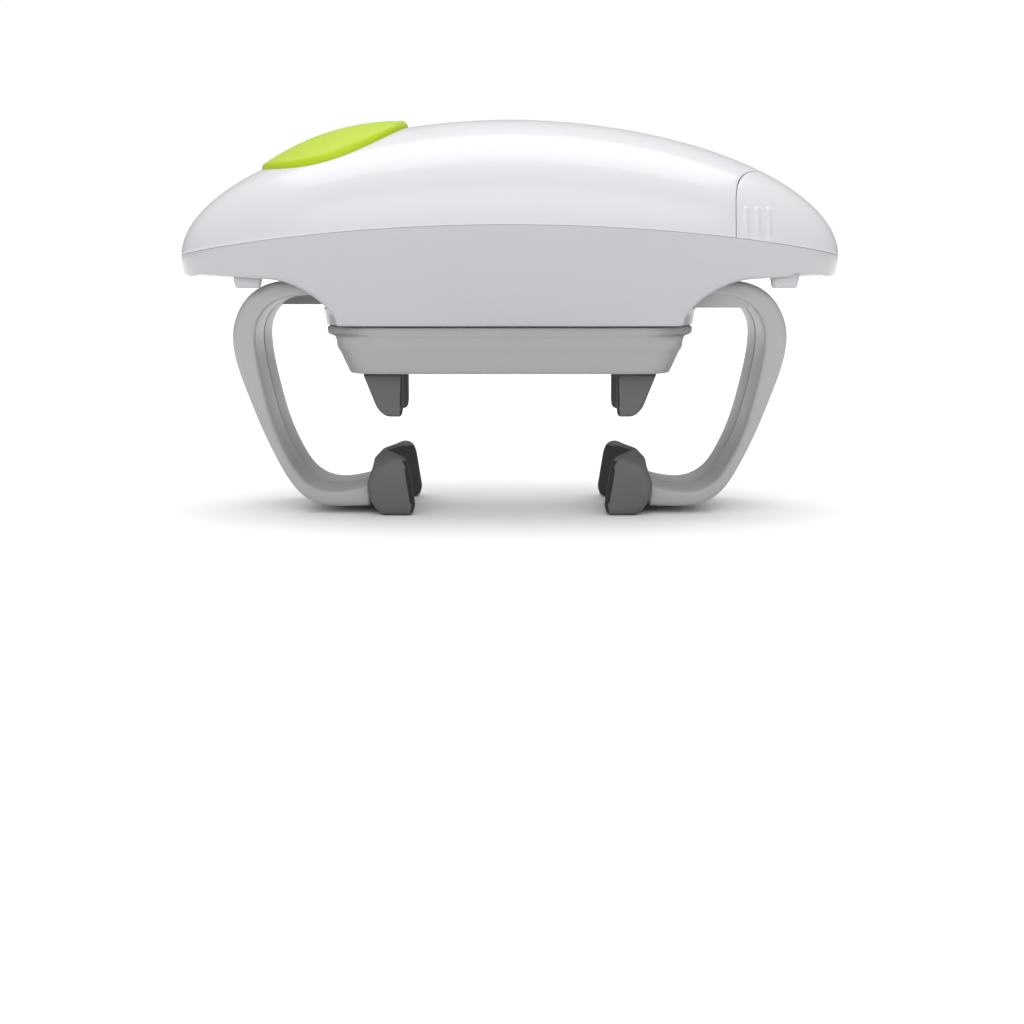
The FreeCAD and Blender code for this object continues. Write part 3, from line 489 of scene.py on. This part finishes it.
ACROSS = 120
LEFT_ROWS = 26
MIDDLE_ROWS = 70
DOOR_ROWS = 60
CUP_SIDES = 144
CUP_DROP = 1.2
CUP_GAP = 0.05
CUP_WALL = 1.5
CUP_FLOOR = 1.4
STEM_GAP = 0.4


def left_patch():
    """Upper skin round the button hole, left of the plain stretch."""
    angles = np.linspace(0, math.pi, ACROSS + 1)
    cut = section(LEFT_PATCH_END, angles)[:, :2]
    start = math.acos((-LEFT_PATCH_END / HALF_LENGTH) ** (PLAN_POWER / 2))
    sweep = np.linspace(math.pi - start, math.pi + start, 2 * ACROSS + 1)[1:-1]
    border = np.concatenate([cut, outline_point(sweep)])
    away = (border - BUTTON_CENTRE[:2]) * (1 / math.cos(BUTTON_TILT), 1.0)
    turn = np.arctan2(away[:, 1], away[:, 0])
    rim = button_point(HOLE_R, turn, rim_height(HOLE_R, turn))
    rings = []
    for row in range(LEFT_ROWS + 1):
        share = math.sin(math.pi / 2 * row / LEFT_ROWS)
        plan = rim[:, :2] * (1 - share) + border * share
        height = roof_z(plan[:, 0], plan[:, 1])
        if row == 0:
            height = rim[:, 2]
        rings.append(np.column_stack([plan, height]))
    return np.concatenate(rings), grid_faces(LEFT_ROWS + 1, len(border), True)


def middle_patch():
    """Upper skin from the left patch to the door seam."""
    angles = np.linspace(0, math.pi, ACROSS + 1)
    length = seam_end(angles, -SEAM_GAP) - LEFT_PATCH_END
    strips = [section(LEFT_PATCH_END + length * row / MIDDLE_ROWS, angles) for row in range(MIDDLE_ROWS + 1)]
    return np.concatenate(strips), grid_faces(MIDDLE_ROWS + 1, ACROSS + 1)


def well_cup():
    """Cup under the button hole, with a hole for the button's stem."""
    angle = np.linspace(0, 2 * math.pi, CUP_SIDES, endpoint=False)
    top = rim_height(HOLE_R, angle) - CUP_DROP
    inner, outer, hole = HOLE_R + CUP_GAP, HOLE_R + CUP_WALL, STEM_R + STEM_GAP
    under = WELL_FLOOR - CUP_FLOOR
    profile = [(inner, top), (inner, WELL_FLOOR), (hole, WELL_FLOOR), (hole, under)]
    profile += [(outer, under), (outer, top - 0.3), (inner, top)]
    rings = [button_point(radius, angle, height) for radius, height in profile]
    return np.concatenate(rings), grid_faces(len(rings), CUP_SIDES, True)


def merge(*parts):
    """Several sets of points and faces as one."""
    points, faces, offset = [], [], 0
    for part_points, part_faces in parts:
        points.append(part_points)
        faces += [tuple(index + offset for index in face) for face in part_faces]
        offset += len(part_points)
    return np.concatenate(points), faces


def build_upper_shell():
    """Glossy upper shell with rounded edges at the hole and both seams."""
    points, faces = merge(left_patch(), middle_patch())
    skin = make_piece("upper_shell_skin", points, faces, white, "housing", "shell_white", ["upper_shell"])
    add_solidify(skin)
    add_bevel(skin, SHELL_EDGE)
    make_piece("button_well", *well_cup(), white, "housing", "shell_white")


# ---------------------------------------------------------------- battery door

RIB_XS = (71.4, 75.1, 78.8)
RIB_Z = 90.9
RIB_HALF_LENGTH = 5.0
RIB_HEIGHT = 0.42
RIB_CORE, RIB_FOOT = 0.25, 1.0
RIB_AIM_BACK = 20.0
RIB_AIM_UP = 4.0
RIB_AIM_ALONG = 0.15


def rib_lift(points):
    """Height of the grip ribs over the skin."""
    lift = np.zeros(len(points))
    ends = 1 - smoothstep(0.75, 1.05, ((points[:, 2] - RIB_Z) / RIB_HALF_LENGTH) ** 2)
    for x in RIB_XS:
        lift = np.maximum(lift, 1 - smoothstep(RIB_CORE, RIB_FOOT, np.abs(points[:, 0] - x)))
    return RIB_HEIGHT * lift * ends


def build_door():
    """Battery door: seam and outline as the two long edges of one sheet."""
    angles = np.linspace(0, math.pi, 2 * ACROSS + 1)
    seam = section(seam_end(angles, SEAM_GAP), angles)[:, :2]
    corner = math.acos((seam[0, 0] / HALF_LENGTH) ** (PLAN_POWER / 2))
    border = outline_point(np.linspace(-corner, corner, len(angles)))
    strips = []
    for row in range(DOOR_ROWS + 1):
        share = math.sin(math.pi / 2 * row / DOOR_ROWS)
        plan = seam * (1 - share) + border * share
        strips.append(np.column_stack([plan, roof_z(plan[:, 0], plan[:, 1])]))
    points = np.concatenate(strips)
    outwards = points - (points[:, 0].mean() - RIB_AIM_BACK, 0.0, TIP_Z + RIB_AIM_UP)
    outwards[:, 0] *= RIB_AIM_ALONG
    outwards /= np.linalg.norm(outwards, axis=1)[:, None]
    points = points + outwards * rib_lift(points)[:, None]
    faces = grid_faces(DOOR_ROWS + 1, len(angles))
    door = make_piece("battery_door_skin", points, faces, white, "battery_cover", "shell_white",
                      ["battery_door"])
    add_solidify(door)
    add_bevel(door, SHELL_EDGE)


# ---------------------------------------------------------------- power button

BUTTON_SIDES = 360
BUTTON_RINGS = 118
BUTTON_EDGE = 1.7
CROWN = 4.2
PROUD, PROUD_TILT = 1.45, 0.55
DOME_LIFT = 0.35
SIGN_DEPTH = 0.4
SKIRT_CHAMFER = 0.3
SKIRT_WALL = 2.0
CAP_WALL = 3.6
CAP_INNER_R = 20.0
STEM_CHAMFER = 0.4


def build_button():
    """Crowned button with a rounded rim, a skirt, a stem and an engraved power sign."""
    angle = np.linspace(0, 2 * math.pi, BUTTON_SIDES, endpoint=False)
    rim = rim_height(HOLE_R, angle) + (PROUD + PROUD_TILT * np.cos(angle))
    flat_r = BUTTON_R - BUTTON_EDGE
    skirt_r = BUTTON_R - SKIRT_WALL

    def dome(radius):
        """Height of the top at a radius."""
        share = radius / BUTTON_R
        return rim + DOME_LIFT + (CROWN - rim - DOME_LIFT) * (1 - share ** 2)

    rings = []
    for radius in np.linspace(0.4, flat_r, BUTTON_RINGS):
        x, y = radius * np.cos(angle), radius * np.sin(angle)
        rings.append((radius, dome(radius) - SIGN_DEPTH * power_sign(x, y)))
    fall = dome(flat_r) - rim + BUTTON_EDGE * 0.75
    for turn in np.linspace(0, math.pi / 2, 9)[1:]:
        rings.append((flat_r + BUTTON_EDGE * math.sin(turn), dome(flat_r) - fall * (1 - math.cos(turn))))
    rings += [(BUTTON_R, SKIRT + SKIRT_CHAMFER), (BUTTON_R - SKIRT_CHAMFER, SKIRT), (skirt_r, SKIRT)]
    for radius in (skirt_r, 18.0, 12.0, STEM_R + 1.5, STEM_R):
        rings.append((radius, dome(min(radius, CAP_INNER_R)) - CAP_WALL))
    rings += [(STEM_R, STEM_TIP + STEM_CHAMFER), (STEM_R - STEM_CHAMFER, STEM_TIP)]
    shapes = [button_point(radius, angle, height) for radius, height in rings]
    make_piece("power_button_cap", *loft(shapes), green, "button", "button_green", ["power_button"])


SIGN_R = 9.5
SIGN_LINE = (0.55, 0.85)
SIGN_GAP = (0.52, 0.62)
BAR_FROM = (2.8, 3.3)
BAR_TO = (12.0, 12.5)


def power_sign(x, y):
    """1 inside the engraved sign: an open ring with a bar in its gap."""
    radius = np.hypot(x, y)
    ring = 1 - smoothstep(*SIGN_LINE, np.abs(radius - SIGN_R))
    gap = smoothstep(*SIGN_GAP, np.abs(np.arctan2(x, y)))
    bar = (1 - smoothstep(*SIGN_LINE, np.abs(x))) * smoothstep(*BAR_FROM, y) * (1 - smoothstep(*BAR_TO, y))
    return np.maximum(ring * gap, bar)


# ---------------------------------------------------------------- lower shell

BELLY_HALF_LENGTH = 59.0
BELLY_HALF_WIDTH = 25.5
BELLY_POWER = 4.6
SIDE_SLOPE = 2.0
TIP_SLOPE = 7.0
END_ROUND = 5.4
END_FLAT_Y = 19.6
COVE_REACH = 21.0
COVE_MIDDLE_REACH = 5.0
COVE_POWER = 1.25
COVE_TOP_Z = BELLY_Z + 14.5
COVE_BLEND = 2.2
WING_RISE = 0.06
TIP_RANGE = (78.0, 104.0)
BELLY_BLEND = 0.9
BELLY_SINK = 0.02
SEAM_BAND = 1.6

RAYS = 400
HUB_R = 9.4
BELLY_SHARE = 0.9
BELLY_ROWS = (0.0, 0.3, 0.6, 0.85)
WING_ROWS = 75
SLOT_CENTRE_X = 59
SLOT_HALF_LENGTH = 19
SLOT_GAP = (0.5, 0.6, 0.35)
SLOT_EDGE = 0.4

FOOT_XS = (-81, 85)
FOOT_Y = -21.6
FOOT_HALF = (4.0, 1.6)
FOOT_CORNER = 1.4
FOOT_DROP = 11.8


def ray_radius(angle, half_x, half_y, power):
    """Distance from the middle to a superellipse along a ray."""
    along, across = np.abs(np.cos(angle) / half_x), np.abs(np.sin(angle) / half_y)
    return (along ** power + across ** power) ** (-1 / power)


def edge_distance(x, y):
    """How far a plan point lies inside the outline, and its share of the way out to it."""
    long_share, wide_share = np.abs(x) / HALF_LENGTH, np.abs(y) / HALF_WIDTH
    level = (long_share ** PLAN_POWER + wide_share ** PLAN_POWER) ** (1 / PLAN_POWER)
    steep = PLAN_POWER - 1
    slope = np.hypot(long_share ** steep / HALF_LENGTH, wide_share ** steep / HALF_WIDTH) * level ** -steep
    return (1 - level) / slope, level


def soft_max(a, b, width):
    """Larger of two heights with a rounded change between them."""
    return (a + b + np.sqrt((a - b) ** 2 + width ** 2)) / 2


def cove_z(x, y):
    """Height of the hollow end of the belly and the wing's underside."""
    share = np.clip(np.abs(y) / END_FLAT_Y, 0, 1)
    out = np.abs(x) - BELLY_HALF_LENGTH + END_ROUND * share ** 2.5
    reach = COVE_MIDDLE_REACH + (COVE_REACH - COVE_MIDDLE_REACH) * share ** 4
    sweep = np.arccos(np.clip(1 - out / reach, 0, 1) ** (1 / COVE_POWER))
    curve = BELLY_Z + (COVE_TOP_Z - BELLY_Z) * np.sin(sweep) ** COVE_POWER
    wing = COVE_TOP_Z + WING_RISE * np.maximum(0, out - COVE_REACH)
    height = np.where(out < reach, curve, wing)
    return np.where(out < 0, BELLY_Z + SIDE_SLOPE * 4 * out, height)


def under_z(x, y):
    """Height of the lower skin: slanted sides, hollow ends and a flat belly."""
    gap, level = edge_distance(x, y)
    seam = parting_z(x / level) - SEAM_GAP
    slope = SIDE_SLOPE + TIP_SLOPE * smoothstep(*TIP_RANGE, np.abs(x) / level)
    side = seam - slope * gap
    lower = soft_max(side, cove_z(x, y), COVE_BLEND)
    height = soft_max(lower, BELLY_Z, BELLY_BLEND) - BELLY_SINK
    return side + (height - side) * smoothstep(0.0, SEAM_BAND, gap)


def even_rays(count):
    """Ray angles that divide the outline into equal lengths."""
    dense = np.linspace(0, 2 * math.pi, 4001)
    radius = ray_radius(dense, HALF_LENGTH, HALF_WIDTH, PLAN_POWER)
    path = np.column_stack([radius * np.cos(dense), radius * np.sin(dense)])
    lengths = np.concatenate([[0], np.cumsum(np.linalg.norm(np.diff(path, axis=0), axis=1))])
    return np.interp(np.linspace(0, lengths[-1], count + 1)[:-1], lengths, dense)


def foot(x, low, high):
    """Small moulded boss with rounded corners under the wing."""
    rings = []
    for height, grow in ((high, 0.5), (low + 0.8, 0.0), (low + 0.2, -0.25), (low, -0.8)):
        half_x, half_y = FOOT_HALF[0] + grow, FOOT_HALF[1] + grow
        corners = [(x + sx * half_x, FOOT_Y + sy * half_y) for sx, sy in ((-1, -1), (1, -1), (1, 1), (-1, 1))]
        plan = round_corners(corners, [FOOT_CORNER] * 4)
        rings.append(np.column_stack([plan, np.full(len(plan), height)]))
    return loft(rings)


def build_lower_shell():
    """Lower shell: wings, belly with hollow ends, slots for the arms and the spindle's hole."""
    angle = even_rays(RAYS)
    inner = ray_radius(angle, BELLY_HALF_LENGTH, BELLY_HALF_WIDTH, BELLY_POWER) * BELLY_SHARE
    outer = ray_radius(angle, HALF_LENGTH, HALF_WIDTH, PLAN_POWER)
    radii = [HUB_R + (inner - HUB_R) * share for share in BELLY_ROWS]
    radii += [inner + (outer - inner) * share for share in np.linspace(0, 1, WING_ROWS)]
    rings = []
    for radius in radii:
        x, y = radius * np.cos(angle), radius * np.sin(angle)
        rings.append(np.column_stack([x, y, under_z(x, y)]))
    points = np.concatenate(rings)
    # The lower skin takes the darker white, which paints its shade.
    shell = make_piece("lower_shell_skin", points, grid_faces(len(rings), len(angle), True), white_painted_shade,
                       "housing", "shell_white", ["lower_shell"])
    add_solidify(shell)
    bake_modifiers(shell)
    under_gap, side_gap, top_gap = SLOT_GAP
    half = ARM_HALF_WIDTH + side_gap
    low_z, high_z = box_mm("left_arm_rack")[0][2] - under_gap, ARM_TOP_Z + top_gap
    slots = [((x - SLOT_HALF_LENGTH, -half, low_z), (x + SLOT_HALF_LENGTH, half, high_z))
             for x in (-SLOT_CENTRE_X, SLOT_CENTRE_X)]
    cut_boxes(shell, slots)
    add_bevel(shell, SLOT_EDGE)
    feet = [foot(x, BELLY_Z + FOOT_DROP, WING_Z + 1) for x in FOOT_XS]
    # The feet take the same darker white, which paints shade.
    make_piece("wing_feet", *merge(*feet), white_painted_shade, "housing", "shell_white")


# ---------------------------------------------------------------- arms and pads, built on the left

ARM_OUTER = (
    (-60.0, ARM_TOP_Z), (-66.0, ARM_TOP_Z), (-72.0, ARM_TOP_Z - 0.1), (-80.2, 69.9), (-85.1, 63.5),
    (-86.8, 56.8), (-85.8, 48.0), (-82.5, 38.1), (-78.0, 26.9), (-72.6, 15.8), (-67.6, 8.0),
    (-62.8, 4.0), (-56.5, 2.4), (-50.0, 2.3), (-44.2, 2.4),
)
ARM_INNER = (
    (-60.0, 69.2), (-64.0, 68.9), (-70.5, 67.8), (-76.0, 64.6), (-79.0, 59.5), (-79.4, 53.0),
    (-77.0, 39.5), (-72.8, 24.8), (-69.2, 17.0), (-64.6, 10.6), (-58.8, 7.6), (-53.0, 7.4), (-44.2, 9.4),
)
ARM_RINGS = 120
GROOVE_HALF = 0.75
GROOVE_DEEP = 0.8
GROOVE_SLANT = 0.3
GROOVE_EDGE = 0.25
ARM_OUTER_EDGE = 2.6
ARM_INNER_EDGE = 1.7


def arm_rings():
    """Cross-sections of the C-shaped arm from its stub to its pad."""
    rings = []
    for far, near in zip(spline(ARM_OUTER, ARM_RINGS), spline(ARM_INNER, ARM_RINGS)):
        depth = np.linalg.norm(near - far)
        shape = arm_section(depth, ARM_HALF_WIDTH)
        direction = (near - far) / depth
        plan = far + shape[:, :1] * direction
        rings.append(np.column_stack([plan[:, 0], shape[:, 1], plan[:, 1]]))
    return rings


def arm_section(depth, half):
    """Outline of the arm's section: (distance from the outer face, y), with a groove in the inner face."""
    lip, floor = GROOVE_HALF + GROOVE_SLANT, depth - GROOVE_DEEP
    corners = [(0, -half), (0, half), (depth, half), (depth, lip)]
    corners += [(floor, GROOVE_HALF), (floor, -GROOVE_HALF), (depth, -lip), (depth, -half)]
    radii = [ARM_OUTER_EDGE] * 2 + [ARM_INNER_EDGE] + [GROOVE_EDGE] * 4 + [ARM_INNER_EDGE]
    return round_corners(corners, radii)


def half_turn(points):
    """The same points turned half a turn about the carriage axis."""
    return np.asarray(points) * (-1, -1, 1)


END_STEPS = 6
MIDDLE_STEPS = 41
V_SOFTNESS = 1.2


def v_loft(outline, half, tip_x, root_x, back_x, notch_half, edge):
    """Loft of a profile along Y whose jar side falls back to a V in the middle, with rounded ends."""
    ends = [(-half + edge * (1 - math.cos(turn)), edge * (1 - math.sin(turn)))
            for turn in np.linspace(0, math.pi / 2, END_STEPS)]
    inner = np.linspace(-half + edge, half - edge, MIDDLE_STEPS)[1:-1]
    stations = ends + [(y, 0.0) for y in inner] + [(-y, draw) for y, draw in reversed(ends)]
    middle = outline.mean(axis=0)
    rings = []
    for y, draw in stations:
        fall = np.clip(1 - math.sqrt(y * y + V_SOFTNESS) / notch_half, 0, 1)
        scale = 1 - fall * (root_x - tip_x) / (back_x - tip_x)
        away = outline - middle
        span = np.linalg.norm(away, axis=1)[:, None]
        drawn = outline - away / span * draw
        x = back_x + (drawn[:, 0] - back_x) * scale
        rings.append(np.column_stack([x, np.full(len(x), y), drawn[:, 1]]))
    return loft(rings)


def pad_form():
    """Rubber V pad of the left arm."""
    corners = [(-40.2, 0.0), (-43.8, 3.8), (-45.1, 9.4), (-42.9, 15.5), (-35.8, 18.9), (-33.0, 18.2)]
    corners += [(-31.7, 15.5), (-29.75, 3.0), (-30.6, 0.3), (-32.6, 0.0)]
    radii = [2.0, 2.5, 2.5, 0.8, 1.6, 1.4, 1.6, 1.2, 0.8, 0.6]
    outline = round_corners(corners, radii, 4)
    return v_loft(outline, half=23.0, tip_x=-29.75, root_x=-38.6, back_x=-45.1, notch_half=19.0, edge=2.6)


def jaw_form():
    """Rubber lid jaw of the left side."""
    corners = [(-39.1, 30.7), (-34.2, 30.7), (-33.85, 33.0), (-33.85, 44.3), (-46.2, 44.3), (-41.7, 33.1)]
    radii = [1.6, 0.7, 0.6, 0.8, 0.8, 1.8]
    outline = round_corners(corners, radii, 4)
    return v_loft(outline, half=18.0, tip_x=-33.85, root_x=-36.9, back_x=-46.2, notch_half=12.0, edge=1.2)


INSIDE_TURN = 0.55
INSIDE_TILT = 0.6


def paint_shade_inside(piece, side):
    """Give the faces turned to the jar a darker rubber that paints the shade inside the V; it is also rougher
    and less glossy.
    """
    piece.data.materials.append(rubber_painted_shade)
    for face in piece.data.polygons:
        if -side * face.normal.x > INSIDE_TURN and abs(face.normal.z) < INSIDE_TILT:
            face.material_index = 1


def build_arms():
    """Both arms with their pads and lid jaws."""
    arm_points, arm_faces = loft(arm_rings())
    for side, sign, turn in (("left", -1, lambda points: points), ("right", 1, half_turn)):
        arm_body, jaw_body = side + "_jar_arm", side + "_lid_jaw"
        make_piece(side + "_arm_band", turn(arm_points), arm_faces, arm_grey, arm_body, "arm_grey",
                   [side + "_arm"])
        points, faces = pad_form()
        pad = make_piece(side + "_pad_rubber", turn(points), faces, rubber, arm_body, "pad_rubber",
                         [side + "_arm_pad"])
        points, faces = jaw_form()
        jaw = make_piece(side + "_jaw_rubber", turn(points), faces, rubber, jaw_body, "pad_rubber",
                         [side + "_jaw_grip"])
        # The faces turned to the jar get the darker rubber, which paints their shade.
        paint_shade_inside(pad, sign)
        paint_shade_inside(jaw, sign)


# ---------------------------------------------------------------- lid carriage

LIP_HEIGHT = 2.6
BLOCK_OVERHANG = 0.5
BLOCK_CORNER = 9
SLANT_Z = 52.4
SLANT_HALF = (53.7, 24.3)
SLANT_DRAFT = (3.4, 1.6)
SLANT_SHARES = np.linspace(0.12, 0.94, 7)
CORNER_STEPS = 10


def rounded_ring(half_x, half_y, radius, z):
    """Rounded rectangle in plan."""
    spots = []
    for index, (sx, sy) in enumerate(((1, 1), (-1, 1), (-1, -1), (1, -1))):
        for turn in np.linspace(0, math.pi / 2, CORNER_STEPS + 1):
            angle = math.pi / 2 * index + turn
            spots.append((sx * (half_x - radius) + radius * math.cos(angle),
                          sy * (half_y - radius) + radius * math.sin(angle), z))
    return spots


def build_carriage():
    """Grey block with its lip, upright then tapered ends, and a hollow underside."""
    low, high = box_mm("lid_carriage")
    bottom, top = low[2] - BLOCK_OVERHANG, high[2]
    lip_z = top - LIP_HEIGHT
    outline = [(12, 10, 8, top), (57.5, 24.2, 17.5, top), (58.1, 24.8, 18, top - 0.5)]
    outline += [(58.1, 24.8, 18, lip_z + 0.5), (57.6, 24.8, 17.7, lip_z)]
    outline += [(54.8, 24.75, BLOCK_CORNER, lip_z - 0.3), (54.4, 24.7, BLOCK_CORNER, 55.0)]
    outline += [(54.2, 24.5, BLOCK_CORNER, 53.2)]
    outline += [(54.0, 24.4, BLOCK_CORNER, 52.6), (53.6, 24.3, BLOCK_CORNER, 51.8)]
    for share in SLANT_SHARES:
        half_x, half_y = (half - draft * share for half, draft in zip(SLANT_HALF, SLANT_DRAFT))
        outline.append((half_x, half_y, BLOCK_CORNER, SLANT_Z - (SLANT_Z - bottom) * share))
    outline += [(50.2, 22.4, 8.6, bottom + 0.15), (49.8, 22.0, 8.2, bottom), (48.8, 21.0, 7.2, bottom)]
    outline += [(48.5, 20.7, 7.0, bottom + 0.3), (50.5, 21.0, 7.0, lip_z - 2.0), (12, 10, 8, lip_z - 2.0)]
    points, faces = loft([rounded_ring(*row) for row in outline])
    make_piece("lid_carriage_block", points, faces, carriage_grey, "carriage", "carriage_grey",
               ["lid_carriage"])


# ---------------------------------------------------------------- setting, light and camera

FLOOR_RADII = (0.12, 0.3, 0.6, 1.2, 2.4, 4.0)
FLOOR_SIDES = 96
FLOOR_DARK = (0.94, 0.94, 0.945)
FLOOR_LIGHT = (0.96, 0.96, 0.965)
GLOW_FROM = 0.2
GLOW_TO = 0.6
GLOW_STRENGTH = 0.45


def build_stage():
    """Pale round floor, a little self-lit away from the object so that it stays even."""
    rings = []
    for radius in FLOOR_RADII:
        angle = np.linspace(0, 2 * math.pi, FLOOR_SIDES, endpoint=False)
        rings.append(np.column_stack([radius * np.cos(angle), radius * np.sin(angle), 0 * angle]))
    points, faces = loft(rings, cap_end=False)
    mesh = bpy.data.meshes.new("floor")
    mesh.from_pydata(points.tolist(), [], faces)
    floor = bpy.data.objects.new("floor", mesh)
    bpy.context.collection.objects.link(floor)
    material, tree, shader = node_material("studio_paper")
    tone = two_tone(tree, mottle(tree, 6.0), FLOOR_DARK, FLOOR_LIGHT)
    tree.links.new(tone, shader.inputs["Base Color"])
    shader.inputs["Roughness"].default_value = 0.6
    shader.inputs["Specular IOR Level"].default_value = 0.2
    place = tree.nodes.new("ShaderNodeTexCoord")
    length = tree.nodes.new("ShaderNodeVectorMath")
    length.operation = "LENGTH"
    glow = tree.nodes.new("ShaderNodeMapRange")
    glow.interpolation_type = "SMOOTHSTEP"
    glow.inputs["From Min"].default_value = GLOW_FROM
    glow.inputs["From Max"].default_value = GLOW_TO
    glow.inputs["To Max"].default_value = GLOW_STRENGTH
    tree.links.new(place.outputs["Object"], length.inputs[0])
    tree.links.new(length.outputs["Value"], glow.inputs["Value"])
    tree.links.new(glow.outputs["Result"], shader.inputs["Emission Strength"])
    shader.inputs["Emission Color"].default_value = (1, 1, 1, 1)
    mesh.materials.append(material)


def add_light(name, place, target, size, power):
    """Soft rectangular light aimed at a point; power in watts."""
    data = bpy.data.lights.new(name, "AREA")
    data.shape = "RECTANGLE"
    data.size, data.size_y = size
    data.energy = power
    light = bpy.data.objects.new(name, data)
    bpy.context.collection.objects.link(light)
    light.location = place
    aim = Vector(target) - Vector(place)
    light.rotation_euler = aim.to_track_quat("-Z", "Y").to_euler()


SKY_HORIZON = 0.18
SKY_ZENITH = 1.15


def build_light():
    """Surrounding that is brighter overhead, with soft boxes in front and above."""
    world = bpy.data.worlds.new("studio")
    bpy.context.scene.world = world
    world.use_nodes = True
    tree = world.node_tree
    back = tree.nodes["Background"]
    place = tree.nodes.new("ShaderNodeTexCoord")
    parts = tree.nodes.new("ShaderNodeSeparateXYZ")
    sky = tree.nodes.new("ShaderNodeMapRange")
    sky.inputs["To Min"].default_value = SKY_HORIZON
    sky.inputs["To Max"].default_value = SKY_ZENITH
    path = tree.nodes.new("ShaderNodeLightPath")
    seen = tree.nodes.new("ShaderNodeMix")
    seen.inputs["B"].default_value = 1.0
    tree.links.new(place.outputs["Generated"], parts.inputs[0])
    tree.links.new(parts.outputs["Z"], sky.inputs["Value"])
    tree.links.new(path.outputs["Is Camera Ray"], seen.inputs["Factor"])
    tree.links.new(sky.outputs["Result"], seen.inputs["A"])
    tree.links.new(seen.outputs["Result"], back.inputs["Strength"])
    back.inputs["Color"].default_value = (1.0, 1.0, 1.0, 1)
    add_light("front_box", place=(0.0, -0.9, 0.5), target=(0, 0, 0.05), size=(1.5, 0.6), power=3.6)
    add_light("top_box", place=(0.0, 0.15, 1.1), target=(0, 0, 0), size=(1.4, 0.8), power=7.4)


CAMERA_EYE = (0.0007, -0.5199, 0.0836)
CAMERA_SHIFT = -0.0932
SENSOR_WIDTH = 36.0
CAMERA_PITCH = math.radians(6.0)
FOCAL_PIXELS = 1605.4
IMAGE_SIZE = 1024


def build_camera():
    """Camera in front of the housing, tipped slightly down."""
    data = bpy.data.cameras.new("camera")
    data.sensor_width = SENSOR_WIDTH
    data.lens = SENSOR_WIDTH * FOCAL_PIXELS / IMAGE_SIZE
    data.shift_y = CAMERA_SHIFT
    data.clip_start, data.clip_end = 0.01, 20
    camera = bpy.data.objects.new("camera", data)
    bpy.context.collection.objects.link(camera)
    camera.location = CAMERA_EYE
    camera.rotation_euler = (math.pi / 2 - CAMERA_PITCH, 0, 0)
    bpy.context.scene.camera = camera
    bpy.context.scene.view_settings.view_transform = "Standard"


# ---------------------------------------------------------------- whole scene

paint_cad_nodes()
build_upper_shell()
build_door()
build_button()
build_lower_shell()
build_arms()
build_carriage()
build_stage()
build_light()
build_camera()
